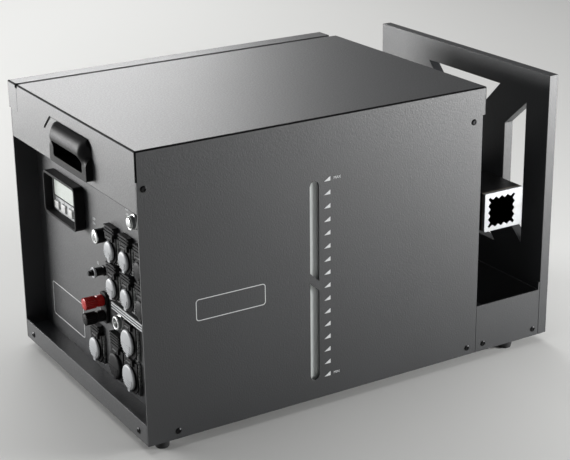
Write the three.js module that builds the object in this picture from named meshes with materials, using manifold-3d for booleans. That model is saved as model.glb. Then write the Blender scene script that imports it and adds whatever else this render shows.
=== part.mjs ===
// Stage flame machine: a black sheet-metal box with a hinged lid, a control end
// with covered sockets, and an open bay where a stainless nozzle head swings
// behind a windowed guard plate. Millimetres, +X from the control end to the
// nozzle end, -Y the side with the level slot, +Z up. The origin is under the
// middle of the machine, on the floor.

import * as THREE from 'three';
import Module from 'manifold-3d';
import { mergeVertices } from 'three/addons/utils/BufferGeometryUtils.js';

const wasm = await Module();
wasm.setup();

// Driving dimensions
const bodyLength = 478;
const bodyWidth = 368;
const bodyHeight = 360;
const bayLength = 106;
const guardDrop = 2;
const guardHeight = bodyHeight - guardDrop;
const guardFlange = 14;
const sheet = 2;
const footHeight = 12;

// Clearances
const fit = 0.3;
const overrun = 1;
const grid = 0.001;

// Tray
const railHeight = 26;
const bayWallHeight = 65;
const trayFlangeHeight = 20;
const guardTabTop = 76;
const guardTabWidth = 4;

// Side panels and their folds
const skirtHeight = 36;
const foldOverlap = 4;
const upstandHeight = 26;
const bulkheadFlange = 20;

// Level slot in the near side panel
const slotMiddle = 229.75;
const slotWidth = 12.5;
const slotBottom = 25.4;
const slotHeadroom = 77;
const slotTop = bodyHeight - slotHeadroom;
const bridgeDrop = 114.3;
const bridgeTop = slotTop - bridgeDrop;
const bridgeHeight = 12.9;
const bridgeRise = 14.2;

// Control end
const panelFace = 30;
const recessFloor = 17;
const recessHeadroom = 75;
const recessTop = bodyHeight - recessHeadroom;
const panelHeadroom = 60;
const panelTop = bodyHeight - panelHeadroom;
const panelFlange = 14;
const bandFlange = 16;

// Lid and hinge strip
const lidProud = 1.5;
const lidOverhang = 4;
const stripWidth = 28;
const seamWidth = bodyWidth - stripWidth;
const stripShort = 4;
const knuckleRadius = 3;
const knuckleBore = 1.4;
const hingePinRadius = 1;
const knuckleCount = 12;
const leafWidth = 16;
const seamGap = 0.6;
const stripCapDepth = 9.7;

// Carry handle
const handleMiddle = 169;
const handleWidth = 106;
const handleHeadroom = 18;
const handleTop = bodyHeight - handleHeadroom;
const handleRise = 7.5;
const handleBottom = recessTop + handleRise;
const handleCorner = 10;
const handleDepth = 8.7;
const handleProud = 13;
const gripRadius = 12;
const gripWidth = 92;
const gripDrop = 14;
const gripMiddle = handleTop - gripDrop;
const fingerWidth = 84;
const fingerDrop = 20;
const fingerTop = handleTop - fingerDrop;
const fingerHeight = 21;
const fingerBottom = fingerTop - fingerHeight;
const pocketWall = 2;
const pocketDrop = 12;
const pocketTop = handleTop - pocketDrop;
const pocketDepth = 26;
const notchClearance = 1.5;
const notchMiddle = 177;
const notchWidth = 154;
const notchCorner = 19;

// Display unit
const bezelShift = 80.5;
const bezelMiddle = bodyWidth / 2 + bezelShift;
const bezelWidth = 99;
const bezelDrop = 106;
const bezelBottom = panelTop - bezelDrop;
const bezelHeight = 57.5;
const bezelDepth = 14;
const bezelWall = 2.5;
const boardThickness = 2;
const screenWidth = 80;
const screenRise = 23;
const screenBottom = bezelBottom + screenRise;
const screenHeight = 29;
const screenRaise = 1.5;
const panelWindowMargin = 4;
const keyCount = 4;
const keyPitch = 21;
const keyWidth = 13;
const keyHeight = 11;
const keyRise = 12;
const keyLevel = bezelBottom + keyRise;
const keyFront = 4.6;
const keyLength = 4;

// Power button
const buttonY = 71;
const buttonDrop = 49;
const buttonZ = panelTop - buttonDrop;
const buttonRingRadius = 9.6;
const buttonRingThickness = 2.5;
const buttonStandOut = 8;
const buttonBarrelRadius = 8.4;
const buttonBarrelLength = 20;
const buttonRadius = 6.6;
const buttonProud = 2;
const buttonLength = 18;
const buttonSpring = 3.5;

// Key switch
const keySwitchY = 160;
const keySwitchZ = 207;
const keySwitchRadius = 9;
const keySwitchDepth = 14;
const keySwitchBarrelRadius = 8;
const keySwitchBarrelLength = 22;
const keyCylinderRadius = 6;
const keyCylinderLength = 24;
const keySlotWidth = 1.6;
const keySlotLength = 8;
const keySlotDepth = 6;

// Circuit breaker
const breakerY = 166;
const breakerZ = 158.5;
const breakerRingRadius = 7;
const breakerRingDepth = 16;
const breakerBarrelRadius = 5.5;
const breakerBarrelLength = 24;
const breakerButtonRadius = 3.6;
const breakerButtonProud = 6;
const breakerButtonLength = 22;
const breakerSpring = 4;

// Binding posts
const postY = 166;
const redPostZ = 120;
const blackPostZ = 99.5;
const postRadius = 8;
const postLength = 25.7;
const postPlateWidth = 18;
const postPlateMargin = 10;
const postPlateDepth = 4;
const studRadius = 2.5;
const studTip = 8;
const studBack = 16;

// Ring socket
const ringSocketY = 121;
const ringSocketZ = 106.5;
const ringSocketRadius = 9.5;
const ringSocketBore = 6;
const ringSocketDepth = 10;
const ringSocketBarrelRadius = 7.4;
const ringSocketBarrelLength = 18;
const ringSocketBoreDepth = 20;

// Covered sockets
const flangeThickness = 5.5;
const flangeSide = 2.5;
const flangeBelow = 3.5;
const flangeAbove = 7;
const collarDepth = 7;
const collarWall = 2;
const collarInset = 1.5;
const barrelLength = 26;
const socketDepth = 21;
const hingeOffset = 3.8;
const hingeReach = 6.5;
const coverPinRadius = 0.9;
const coverBore = 1.3;
const coverBarrelRadius = 2.5;
const coverBarrelWidth = 11;
const lugWidth = 4.5;
const lugDepth = 3;
const lugTop = 5.5;
const bridgeBottom = 2.9;
const flapBack = 0.5;
const flapThickness = 2.6;
const flapDome = 1.2;
const flapArmWidth = 9;
const flapPlugDepth = 2;
const flapPlugGap = 0.7;
const flapLipWidth = 8;
const flapLipDrop = 3;
const domeEdgeShare = 0.8;
const domeWaistShare = 0.55;
const smallFlap = 24;
const wideFlap = 28;
const largeFlap = 32;
const columnA = 131;
const columnB = 91;
const columnC = 51;
const columnD = 191;
const columnLarge = 92;
const rowOne = 197;
const rowTwo = 149;
const rowThree = 92;
const rowFour = 46;
const ribBarLow = 120;
const ribBarHeight = 9;
const ribBarFrom = 52;
const ribBarTo = 136;
const ribBarNeck = 2.5;
const ribDepth = 1.5;
const ribCount = 3;
const ribPitch = 3.3;
const smallBlock = 10;
const wideBlock = 10;
const tallBlock = 17;
const noBlock = 0;
const blockSide = 1.7;

// Nozzle bay
const swivelOffset = 9;
const swivelY = bodyWidth / 2 - swivelOffset;
const swivelDrop = 176.5;
const swivelZ = bodyHeight - swivelDrop;
const shaftRadius = 10;
const shaftInnerEnd = 440;
const shaftOuterEnd = 592;
const bearingRadius = 20;
const bearingInside = 10;
const bearingOutside = 6;
const armFrom = 512;
const armWidth = 40;
const armHeight = 34;
const armHubRadius = 30;
const armHubMargin = 7;
const headFrom = 501;
const headWidth = 62;
const headHeight = 52;
const headFront = 18;
const headLength = 80;
const mouthFrom = 507;
const mouthDrop = 22.5;
const mouthBottom = swivelZ - mouthDrop;
const mouthWidth = 42;
const mouthHeight = 40;
const mouthTeeth = 5;
const mouthToothShare = 0.34;
const jetRadius = 5;
const jetTipRadius = 2;
const jetTipY = 54;
const jetShoulderY = 66;
const jetBlockWidth = 36;
const jetBlockHeight = 32;
const jetBlockDepth = 8;
const electrodeRadius = 1.2;
const electrodeOffset = 9;
const electrodeTipY = 58;

// Guard plate windows, round the crossing of its four struts
const crossRise = 32.5;
const crossY = swivelY;
const crossZ = swivelZ + crossRise;
const windowDepth = 41.5;
const guardNearStrip = 43;
const sideWindowReach = crossY - guardNearStrip;
const sideWindowHalf = 97;
const sideWindowInnerHalf = 60;
const endWindowReach = 111;
const endWindowHalf = 77.5;
const endWindowInnerHalf = 37;
const guardBossRadius = 20;
const rimCornerShare = 2.4;

// Swivel drive
const gearModule = 3;
const gearTeeth = 30;
const pinionTeeth = 12;
const gearFrom = 452;
const gearWidth = 10;
const gearBacklash = 0.6;
const toothTipShare = 0.14;
const toothRootShare = 0.3;
const addendumShare = 0.8;
const dedendumShare = 1.15;
const motorLength = 60;
const motorSide = 58;
const motorPlateThickness = 4;
const motorPlateFace = 444;
const motorPlateHalfHeight = 60;
const motorPostRadius = 4;
const motorPostHeight = 50;
const motorPostNear = 10;
const motorPostFar = 34;
const motorPlateEdge = 10;
const pinionShaftRadius = 4;
const pinionShaftDepth = 14;
const pinionShaftEnd = 466;

// Fuel tank
const tankFrom = 130;
const tankLength = 200;
const tankNear = 5;
const tankWidth = 180;
const tankHeadroom = 68;
const tankTop = bodyHeight - tankHeadroom;
const tankWall = 3;
const tankCorner = 14;
const neckRadius = 27;
const neckBore = 23;
const neckHeight = 18;
const neckShoulder = 6;
const capRadius = 34;
const capHeight = 20;

// Pump and ignition transformer on the tray
const pumpFrom = 352;
const pumpLength = 76;
const pumpNear = 34;
const pumpWidth = 52;
const pumpBase = 8;
const pumpRadius = 21;
const pumpPortRadius = 5;
const pumpPortHeight = 14;
const transformerFrom = 350;
const transformerLength = 84;
const transformerWidth = 70;
const transformerFarGap = 36;
const transformerNear = bodyWidth - transformerFarGap - transformerWidth;
const transformerHeight = 58;
const transformerFoot = 10;
const insulatorRadius = 7;
const insulatorHeight = 16;
const insulatorSpacing = 34;

// Feet
const footRadius = 10;
const footTaper = 1.5;
const footBore = 3;
const footBoreDepth = 5;
const footFront = 25;
const footRear = 540;
const footInset = 15;

// Facets
const fineSides = 24;
const midSides = 16;
const smallSides = 8;

// Values that follow from the ones above
const bayEnd = bodyLength + bayLength;
const insideNear = sheet + fit;
const insideFar = bodyWidth - sheet - fit;
const skirtBottom = bodyHeight - skirtHeight;
const panelEdge = skirtBottom - fit;
const upstandTop = skirtBottom + upstandHeight;
const upstandFoot = panelEdge - foldOverlap;
const floorTop = sheet + fit;
const bulkheadInside = bodyLength - sheet;
const lidNozzleEnd = bodyLength + lidOverhang;
const stripEnd = bodyLength - stripShort;
const hingeZ = bodyHeight - knuckleRadius;
const edgeReach = knuckleRadius + seamGap;
const seatX = panelFace - fit;

// Shape helpers. Corners are rounded to one grid, so that faces meant to be flush are
function toSolid(geometry) {
  const bare = geometry.clone();
  bare.deleteAttribute('normal');
  bare.deleteAttribute('uv');
  const places = bare.getAttribute('position').array;
  places.forEach((place, i) => {
    places[i] = Math.round(place / grid) * grid;
  });
  const merged = mergeVertices(bare);
  const vertProperties = new Float32Array(merged.getAttribute('position').array);
  const triVerts = new Uint32Array(merged.getIndex().array);
  return new wasm.Manifold(new wasm.Mesh({ numProp: 3, vertProperties, triVerts }));
}

function toGeometry(solid) {
  const mesh = solid.getMesh();
  const geometry = new THREE.BufferGeometry();
  geometry.setAttribute('position', new THREE.BufferAttribute(new Float32Array(mesh.vertProperties), 3));
  geometry.setIndex(new THREE.BufferAttribute(new Uint32Array(mesh.triVerts), 1));
  const flat = geometry.toNonIndexed();
  flat.computeVertexNormals();
  return flat;
}

function join(first, ...others) {
  return others.reduce((whole, piece) => whole.add(piece), first);
}

function cut(first, ...others) {
  return others.reduce((whole, piece) => whole.subtract(piece), first);
}

function box(x0, x1, y0, y1, z0, z1) {
  const geometry = new THREE.BoxGeometry(x1 - x0, y1 - y0, z1 - z0);
  geometry.translate((x0 + x1) / 2, (y0 + y1) / 2, (z0 + z1) / 2);
  return toSolid(geometry);
}

// A round bar along X, from one end to the other
function rodX(x0, x1, y, z, radius, sides) {
  const geometry = new THREE.CylinderGeometry(radius, radius, x1 - x0, sides);
  geometry.rotateZ(Math.PI / 2);
  geometry.translate((x0 + x1) / 2, y, z);
  return toSolid(geometry);
}

function rodY(x, y0, y1, z, radius, sides) {
  const geometry = new THREE.CylinderGeometry(radius, radius, y1 - y0, sides);
  geometry.translate(x, (y0 + y1) / 2, z);
  return toSolid(geometry);
}

function rodZ(x, y, z0, z1, radius, sides) {
  const geometry = new THREE.CylinderGeometry(radius, radius, z1 - z0, sides);
  geometry.rotateX(Math.PI / 2);
  geometry.translate(x, y, (z0 + z1) / 2);
  return toSolid(geometry);
}

function outline(points) {
  return new THREE.Shape(points.map(([u, v]) => new THREE.Vector2(u, v)));
}

// An outline in Y and Z, made thick along X
function plateX(points, x0, x1) {
  const options = { depth: x1 - x0, bevelEnabled: false };
  const geometry = new THREE.ExtrudeGeometry(outline(points), options);
  const turn = new THREE.Matrix4().makeBasis(
    new THREE.Vector3(0, 1, 0),
    new THREE.Vector3(0, 0, 1),
    new THREE.Vector3(1, 0, 0),
  );
  geometry.applyMatrix4(turn);
  geometry.translate(x0, 0, 0);
  return toSolid(geometry);
}

// An outline in X and Z, made thick along Y
function plateY(points, y0, y1) {
  const options = { depth: y1 - y0, bevelEnabled: false };
  const geometry = new THREE.ExtrudeGeometry(outline(points), options);
  geometry.rotateX(Math.PI / 2);
  geometry.translate(0, y1, 0);
  return toSolid(geometry);
}

// A turned piece round an axis along X: profile points are [x, radius]
function turnedX(profile, y, z, sides) {
  const points = profile.map(([x, radius]) => new THREE.Vector2(radius, x));
  const geometry = new THREE.LatheGeometry(points, sides);
  geometry.rotateZ(-Math.PI / 2);
  geometry.translate(0, y, z);
  return toSolid(geometry);
}

// A turned piece round an upright axis: profile points are [radius, z]
function turnedZ(profile, x, y, sides) {
  const points = profile.map(([radius, z]) => new THREE.Vector2(radius, z));
  const geometry = new THREE.LatheGeometry(points, sides);
  geometry.rotateX(Math.PI / 2);
  geometry.translate(x, y, 0);
  return toSolid(geometry);
}

// Finishes
const finishes = {
  blackPowder: { color: 0x1b1c1e, roughness: 0.55, metalness: 0.3 },
  blackPlastic: { color: 0x141414, roughness: 0.45, metalness: 0 },
  greyPlastic: { color: 0x9b9da0, roughness: 0.5, metalness: 0 },
  redPlastic: { color: 0xa3120f, roughness: 0.35, metalness: 0 },
  rubber: { color: 0x17171a, roughness: 0.85, metalness: 0 },
  chrome: { color: 0xd8dadd, roughness: 0.12, metalness: 1 },
  stainless: { color: 0xc9cbce, roughness: 0.28, metalness: 1 },
  steel: { color: 0x8d9094, roughness: 0.4, metalness: 1 },
  brass: { color: 0xb9964f, roughness: 0.35, metalness: 1 },
  tank: { color: 0xe6e8e6, roughness: 0.5, metalness: 0 },
  display: { color: 0x2b3036, roughness: 0.3, metalness: 0 },
};

const machine = new THREE.Group();

function addPiece(name, solid, finish, pivot = [0, 0, 0]) {
  const geometry = toGeometry(solid);
  geometry.translate(-pivot[0], -pivot[1], -pivot[2]);
  const mesh = new THREE.Mesh(geometry, new THREE.MeshStandardMaterial(finishes[finish]));
  mesh.name = name;
  mesh.position.set(...pivot);
  machine.add(mesh);
}

// Base tray: floor, front rail, side flanges, bay walls and end flange
function baseTray() {
  const flangeEnd = bulkheadInside - fit;
  const bayStart = bodyLength + fit;
  const trayEnd = bayEnd - fit;
  const floor = box(0, trayEnd, insideNear, insideFar, 0, sheet);
  const rail = box(0, sheet, insideNear, insideFar, 0, railHeight);
  const flangeStart = panelFace + sheet + fit;
  const nearFlange = box(flangeStart, flangeEnd, insideNear, insideNear + sheet, 0, trayFlangeHeight);
  const farFlange = box(flangeStart, flangeEnd, insideFar - sheet, insideFar, 0, trayFlangeHeight);
  const bayFloor = box(bayStart, trayEnd, 0, bodyWidth, 0, sheet);
  const nearWall = box(bayStart, trayEnd, 0, sheet, 0, bayWallHeight);
  const farWall = box(bayStart, trayEnd, bodyWidth - sheet, bodyWidth, 0, bayWallHeight);
  const endFlange = box(trayEnd - sheet, trayEnd, 0, bodyWidth, 0, bayWallHeight);
  const tab = box(trayEnd - sheet, trayEnd, 0, guardTabWidth, 0, guardTabTop);
  return join(floor, rail, nearFlange, farFlange, bayFloor, nearWall, farWall, endFlange, tab);
}

// Outline of the level slot, in X and Z, between two heights
function slotOutline() {
  const radius = slotWidth / 2;
  const points = [];
  const steps = smallSides / 2;
  for (let i = 0; i <= steps; i += 1) {
    const angle = Math.PI * (i / steps);
    points.push([slotMiddle + radius * Math.cos(angle), slotTop - radius + radius * Math.sin(angle)]);
  }
  for (let i = 0; i <= steps; i += 1) {
    const angle = Math.PI * (1 + i / steps);
    points.push([slotMiddle + radius * Math.cos(angle), slotBottom + radius + radius * Math.sin(angle)]);
  }
  return points;
}

// A side panel: sheet with an inner upstand that the lid skirt drops over
function sidePanel(y0, inward) {
  const outer = y0 + (inward > 0 ? 0 : -sheet);
  const fold = inward > 0 ? outer + sheet : outer - sheet;
  const face = box(0, bodyLength, outer, outer + sheet, 0, panelEdge);
  const start = sheet + sheet + fit;
  const upstand = box(start, bulkheadInside - fit, fold, fold + sheet, upstandFoot, upstandTop);
  return join(face, upstand);
}

function nearSidePanel() {
  const slot = plateY(slotOutline(), -overrun, sheet + overrun);
  const left = slotMiddle - slotWidth / 2 - overrun;
  const right = slotMiddle + slotWidth / 2 + overrun;
  const bridge = plateY([
    [left, bridgeTop],
    [left, bridgeTop - bridgeHeight],
    [right, bridgeTop - bridgeHeight - bridgeRise],
    [right, bridgeTop - bridgeRise],
  ], 0, sheet);
  return join(cut(sidePanel(0, 1), slot), bridge);
}

// Fixed band over the recess: front face, tab behind the handle, folds
function frontBand() {
  const tabLow = notchWidth / 2 - notchClearance;
  const tabHigh = tabLow - notchCorner;
  const face = box(0, sheet, insideNear, insideFar, recessTop, panelEdge);
  const tab = plateX([
    [notchMiddle - tabLow, panelEdge - overrun],
    [notchMiddle + tabLow, panelEdge - overrun],
    [notchMiddle + tabLow, panelEdge + notchClearance],
    [notchMiddle + tabHigh, handleTop],
    [notchMiddle - tabHigh, handleTop],
    [notchMiddle - tabLow, panelEdge + notchClearance],
  ], 0, sheet);
  const upstand = box(sheet, sheet + sheet, insideNear, insideFar, upstandFoot, upstandTop);
  const ceiling = box(0, seatX, insideNear, insideFar, recessTop, recessTop + sheet);
  const flangeTop = upstandFoot - fit;
  const nearFlange = box(0, sheet + bandFlange, insideNear, insideNear + sheet, recessTop, flangeTop);
  const farFlange = box(0, sheet + bandFlange, insideFar - sheet, insideFar, recessTop, flangeTop);
  const whole = join(face, tab, upstand, ceiling, nearFlange, farFlange);
  const side = fingerWidth / 2 + pocketWall * 2 + fit;
  const bottom = fingerBottom - pocketWall * 2 - fit;
  const holeNear = handleMiddle - side;
  const holeFar = handleMiddle + side;
  const hole = box(-overrun, sheet * 2 + overrun, holeNear, holeFar, bottom, pocketTop + fit);
  return cut(whole, hole);
}

// Socket places on the control panel: name, middle Y, middle Z, flap diameter, and
// the height of the ribbed block above the hinge
const socketPlaces = [
  ['a1', columnA, rowOne, smallFlap, smallBlock],
  ['b1', columnB, rowOne, smallFlap, smallBlock],
  ['c1', columnC, rowOne, smallFlap, smallBlock],
  ['a2', columnA, rowTwo, smallFlap, smallBlock],
  ['b2', columnB, rowTwo, smallFlap, smallBlock],
  ['c2', columnC, rowTwo, smallFlap, smallBlock],
  ['b3', columnLarge, rowThree, largeFlap, noBlock],
  ['d4', columnD, rowFour, wideFlap, wideBlock],
  ['a4', columnA, rowFour, largeFlap, tallBlock],
  ['b4', columnLarge, rowFour, largeFlap, noBlock],
];
const blackFlaps = ['c1', 'c2', 'a4'];

// Control panel: face, recess floor, fixing flanges and every hole
function controlPanel() {
  const back = panelFace + sheet;
  const face = box(panelFace, back, insideNear, insideFar, floorTop, panelTop);
  const shelf = box(sheet + fit, back, insideNear, insideFar, recessFloor - sheet, recessFloor);
  const flangeEnd = back + panelFlange;
  const flangeFoot = trayFlangeHeight + fit;
  const nearFlange = box(panelFace, flangeEnd, insideNear, insideNear + sheet, flangeFoot, panelTop);
  const farFlange = box(panelFace, flangeEnd, insideFar - sheet, insideFar, flangeFoot, panelTop);
  const from = panelFace - overrun;
  const to = back + overrun;
  const holes = socketPlaces.map(([, y, z, flap]) =>
    rodX(from, to, y, z, flap / 2 - collarInset + fit, midSides));
  holes.push(rodX(from, to, buttonY, buttonZ, buttonBarrelRadius + fit, fineSides));
  holes.push(rodX(from, to, keySwitchY, keySwitchZ, keySwitchBarrelRadius + fit, fineSides));
  holes.push(rodX(from, to, breakerY, breakerZ, breakerBarrelRadius + fit, midSides));
  holes.push(rodX(from, to, ringSocketY, ringSocketZ, ringSocketBarrelRadius + fit, midSides));
  holes.push(rodX(from, to, postY, redPostZ, studRadius + fit, smallSides));
  holes.push(rodX(from, to, postY, blackPostZ, studRadius + fit, smallSides));
  const inner = bezelWall + panelWindowMargin;
  holes.push(box(
    from, to,
    bezelMiddle - bezelWidth / 2 + inner, bezelMiddle + bezelWidth / 2 - inner,
    bezelBottom + inner, bezelBottom + bezelHeight - inner,
  ));
  return cut(join(face, shelf, nearFlange, farFlange), ...holes);
}

// Bulkhead between the body and the nozzle bay, with the inner shaft bearing
function bayBulkhead() {
  const face = box(bulkheadInside, bodyLength, insideNear, insideFar, floorTop, upstandTop);
  const flangeStart = bulkheadInside - bulkheadFlange;
  const flangeFoot = trayFlangeHeight + fit;
  const flangeTop = upstandFoot - fit;
  const nearFlange = box(flangeStart, bodyLength, insideNear, insideNear + sheet, flangeFoot, flangeTop);
  const farFlange = box(flangeStart, bodyLength, insideFar - sheet, insideFar, flangeFoot, flangeTop);
  const footEdge = sheet + fit;
  const footNear = insideNear + footEdge;
  const foot = box(flangeStart, bodyLength, footNear, insideFar - footEdge, floorTop, floorTop + sheet);
  const bossFrom = bulkheadInside - bearingInside;
  const bossTo = bodyLength + bearingOutside;
  const boss = rodX(bossFrom, bossTo, swivelY, swivelZ, bearingRadius, fineSides);
  const boreRadius = shaftRadius + fit + fit;
  const bore = rodX(bossFrom - overrun, bossTo + overrun, swivelY, swivelZ, boreRadius, fineSides);
  return cut(join(face, nearFlange, farFlange, foot, boss), bore);
}

// One side of the lid hinge: knuckles on every second place, with their leaf
const hingeFrom = sheet * 2 + fit;
const hingeTo = stripEnd - sheet * 2;
const leafReach = (knuckleRadius + knuckleBore) / 2;

function hingeSide(first, y0, y1) {
  const pitch = (hingeTo - hingeFrom) / knuckleCount;
  const pieces = [];
  for (let i = first; i < knuckleCount; i += 2) {
    const from = hingeFrom + pitch * i + fit / 2;
    const to = hingeFrom + pitch * (i + 1) - fit / 2;
    const knuckle = rodX(from, to, seamWidth, hingeZ, knuckleRadius, smallSides);
    const leaf = box(from, to, y0, y1, bodyHeight - sheet * 2, bodyHeight - sheet + fit);
    pieces.push(knuckle, leaf);
  }
  return pieces;
}

// Lid: top with three turned-down skirts, notched round the carry handle
function lid() {
  const near = -lidProud;
  const front = -lidProud;
  const far = seamWidth - edgeReach;
  const skirtFar = seamWidth - fit;
  const cornerTop = hingeZ - sheet;
  const top = box(front, lidNozzleEnd, near, far, bodyHeight - sheet, bodyHeight);
  const nearSkirt = box(front, lidNozzleEnd, near, near + sheet, skirtBottom, bodyHeight);
  const frontSkirt = box(front, front + sheet, near, far, skirtBottom, bodyHeight);
  const endSkirt = box(lidNozzleEnd - sheet, lidNozzleEnd, near, far, skirtBottom, bodyHeight);
  const frontTail = box(front, front + sheet, far - overrun, skirtFar, skirtBottom, cornerTop);
  const endTail = box(lidNozzleEnd - sheet, lidNozzleEnd, far - overrun, skirtFar, skirtBottom, cornerTop);
  const knuckles = hingeSide(0, seamWidth - edgeReach - leafWidth, seamWidth - leafReach);
  const bore = rodX(hingeFrom - overrun, hingeTo + overrun, seamWidth, hingeZ, knuckleBore, smallSides);
  const whole = join(top, nearSkirt, frontSkirt, endSkirt, frontTail, endTail, ...knuckles);
  const low = notchWidth / 2;
  const high = low - notchCorner;
  const notchTop = handleTop + notchClearance;
  const notch = plateX([
    [notchMiddle - low, skirtBottom - overrun],
    [notchMiddle + low, skirtBottom - overrun],
    [notchMiddle + low, skirtBottom + notchClearance],
    [notchMiddle + high, notchTop],
    [notchMiddle - high, notchTop],
    [notchMiddle - low, skirtBottom + notchClearance],
  ], front - overrun, front + sheet + overrun);
  return cut(whole, notch, bore);
}

// Fixed strip behind the lid, with the other half of the hinge and its pin
function rearStrip() {
  const front = -lidProud;
  const near = seamWidth + edgeReach;
  const skirtNear = seamWidth + fit;
  const far = bodyWidth + lidProud;
  const top = box(front, stripEnd, near, far, bodyHeight - sheet, bodyHeight);
  const farSkirt = box(front, stripEnd, far - sheet, far, skirtBottom, bodyHeight);
  const frontSkirt = box(front, front + sheet, near, far, skirtBottom, bodyHeight);
  const frontTail = box(front, front + sheet, skirtNear, near + overrun, skirtBottom, hingeZ - sheet);
  const cap = box(stripEnd - sheet, stripEnd, near, far, bodyHeight - stripCapDepth, bodyHeight);
  const knuckles = hingeSide(1, seamWidth + leafReach, seamWidth + edgeReach + leafWidth);
  const pin = rodX(hingeFrom, hingeTo, seamWidth, hingeZ, hingePinRadius, smallSides);
  return join(top, farSkirt, frontSkirt, frontTail, cap, pin, ...knuckles);
}

// Carry handle: moulded frame with a bulging grip over a finger pocket
function carryHandle() {
  const half = handleWidth / 2;
  const frame = plateX([
    [handleMiddle - half, handleBottom],
    [handleMiddle + half, handleBottom],
    [handleMiddle + half, handleTop - handleCorner],
    [handleMiddle + half - handleCorner, handleTop],
    [handleMiddle - half + handleCorner, handleTop],
    [handleMiddle - half, handleTop - handleCorner],
  ], -handleDepth, -fit);
  const gripHalf = gripWidth / 2;
  const gripX = gripRadius - handleProud;
  const bar = rodY(gripX, handleMiddle - gripHalf, handleMiddle + gripHalf, gripMiddle, gripRadius, midSides);
  const grip = cut(bar, box(-fit, handleProud, handleMiddle - half, handleMiddle + half, handleBottom, handleTop));
  const side = fingerWidth / 2 + pocketWall * 2;
  const pocketLow = fingerBottom - pocketWall * 2;
  const pocketNear = handleMiddle - side;
  const pocketFar = handleMiddle + side;
  const pocket = box(-fit - overrun, pocketDepth, pocketNear, pocketFar, pocketLow, pocketTop);
  const hollow = box(
    -handleDepth + pocketWall, pocketDepth - pocketWall,
    handleMiddle - side + pocketWall, handleMiddle + side - pocketWall,
    pocketLow + pocketWall, pocketTop - pocketWall,
  );
  const gripNear = handleMiddle - gripHalf;
  const gripFar = handleMiddle + gripHalf;
  const gripCore = box(-handleDepth, -fit, gripNear, gripFar, fingerTop, handleTop - pocketWall);
  const mouth = box(
    -handleProud - overrun, 0,
    handleMiddle - fingerWidth / 2, handleMiddle + fingerWidth / 2,
    fingerBottom, fingerTop,
  );
  const front = join(cut(frame, hollow), gripCore, grip);
  return cut(join(front, cut(pocket, hollow)), mouth);
}

// Display bezel and the board that it frames
function displayBezel() {
  const y0 = bezelMiddle - bezelWidth / 2;
  const y1 = bezelMiddle + bezelWidth / 2;
  const z1 = bezelBottom + bezelHeight;
  const front = panelFace - bezelDepth;
  const outer = box(front, seatX, y0, y1, bezelBottom, z1);
  const inner = box(
    front - overrun, seatX + overrun,
    y0 + bezelWall, y1 - bezelWall,
    bezelBottom + bezelWall, z1 - bezelWall,
  );
  return cut(outer, inner);
}

const keyMiddles = Array.from({ length: keyCount }, (_, i) =>
  bezelMiddle + (i - (keyCount - 1) / 2) * keyPitch);

function displayBoard() {
  const edge = bezelWall + fit;
  const face = seatX - boardThickness;
  const plate = box(
    face, seatX,
    bezelMiddle - bezelWidth / 2 + edge, bezelMiddle + bezelWidth / 2 - edge,
    bezelBottom + edge, bezelBottom + bezelHeight - edge,
  );
  const screen = box(
    face - screenRaise, seatX,
    bezelMiddle - screenWidth / 2, bezelMiddle + screenWidth / 2,
    screenBottom, screenBottom + screenHeight,
  );
  const holes = keyMiddles.map((y) => box(
    face - overrun, seatX + overrun,
    y - keyWidth / 2 - fit, y + keyWidth / 2 + fit,
    keyLevel - keyHeight / 2 - fit, keyLevel + keyHeight / 2 + fit,
  ));
  return cut(join(plate, screen), ...holes);
}

function menuKey(y) {
  const front = panelFace - keyFront;
  return box(
    front, front + keyLength,
    y - keyWidth / 2, y + keyWidth / 2,
    keyLevel - keyHeight / 2, keyLevel + keyHeight / 2,
  );
}

// Power button in its chromed bushing
function powerButtonRing() {
  const front = panelFace - buttonStandOut;
  const ringFront = seatX - buttonRingThickness;
  const flange = rodX(ringFront, seatX, buttonY, buttonZ, buttonRingRadius, fineSides);
  const barrelEnd = panelFace + buttonBarrelLength;
  const barrel = rodX(front, barrelEnd, buttonY, buttonZ, buttonBarrelRadius, fineSides);
  const depth = front - buttonProud + buttonLength + buttonSpring;
  const bore = rodX(front - overrun, depth, buttonY, buttonZ, buttonRadius + fit, fineSides);
  return cut(join(flange, barrel), bore);
}

function powerButton() {
  const tip = panelFace - buttonStandOut - buttonProud;
  const shoulder = tip + buttonProud / 2;
  return turnedX([
    [tip, 0],
    [tip, buttonRadius - buttonProud],
    [shoulder, buttonRadius],
    [tip + buttonLength, buttonRadius],
    [tip + buttonLength, 0],
  ], buttonY, buttonZ, fineSides);
}

// Key switch: barrel through the panel and the cylinder that the key turns
function keySwitchBody() {
  const front = panelFace - keySwitchDepth;
  const head = rodX(front, seatX, keySwitchY, keySwitchZ, keySwitchRadius, fineSides);
  const barrelEnd = panelFace + keySwitchBarrelLength;
  const barrel = rodX(front, barrelEnd, keySwitchY, keySwitchZ, keySwitchBarrelRadius, fineSides);
  const depth = front + keyCylinderLength + fit;
  const bore = rodX(front - overrun, depth, keySwitchY, keySwitchZ, keyCylinderRadius + fit, fineSides);
  return cut(join(head, barrel), bore);
}

function keyCylinder() {
  const front = panelFace - keySwitchDepth;
  const core = rodX(front, front + keyCylinderLength, keySwitchY, keySwitchZ, keyCylinderRadius, fineSides);
  const slot = box(
    front - overrun, front + keySlotDepth,
    keySwitchY - keySlotWidth / 2, keySwitchY + keySlotWidth / 2,
    keySwitchZ - keySlotLength / 2, keySwitchZ + keySlotLength / 2,
  );
  return cut(core, slot);
}

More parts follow.
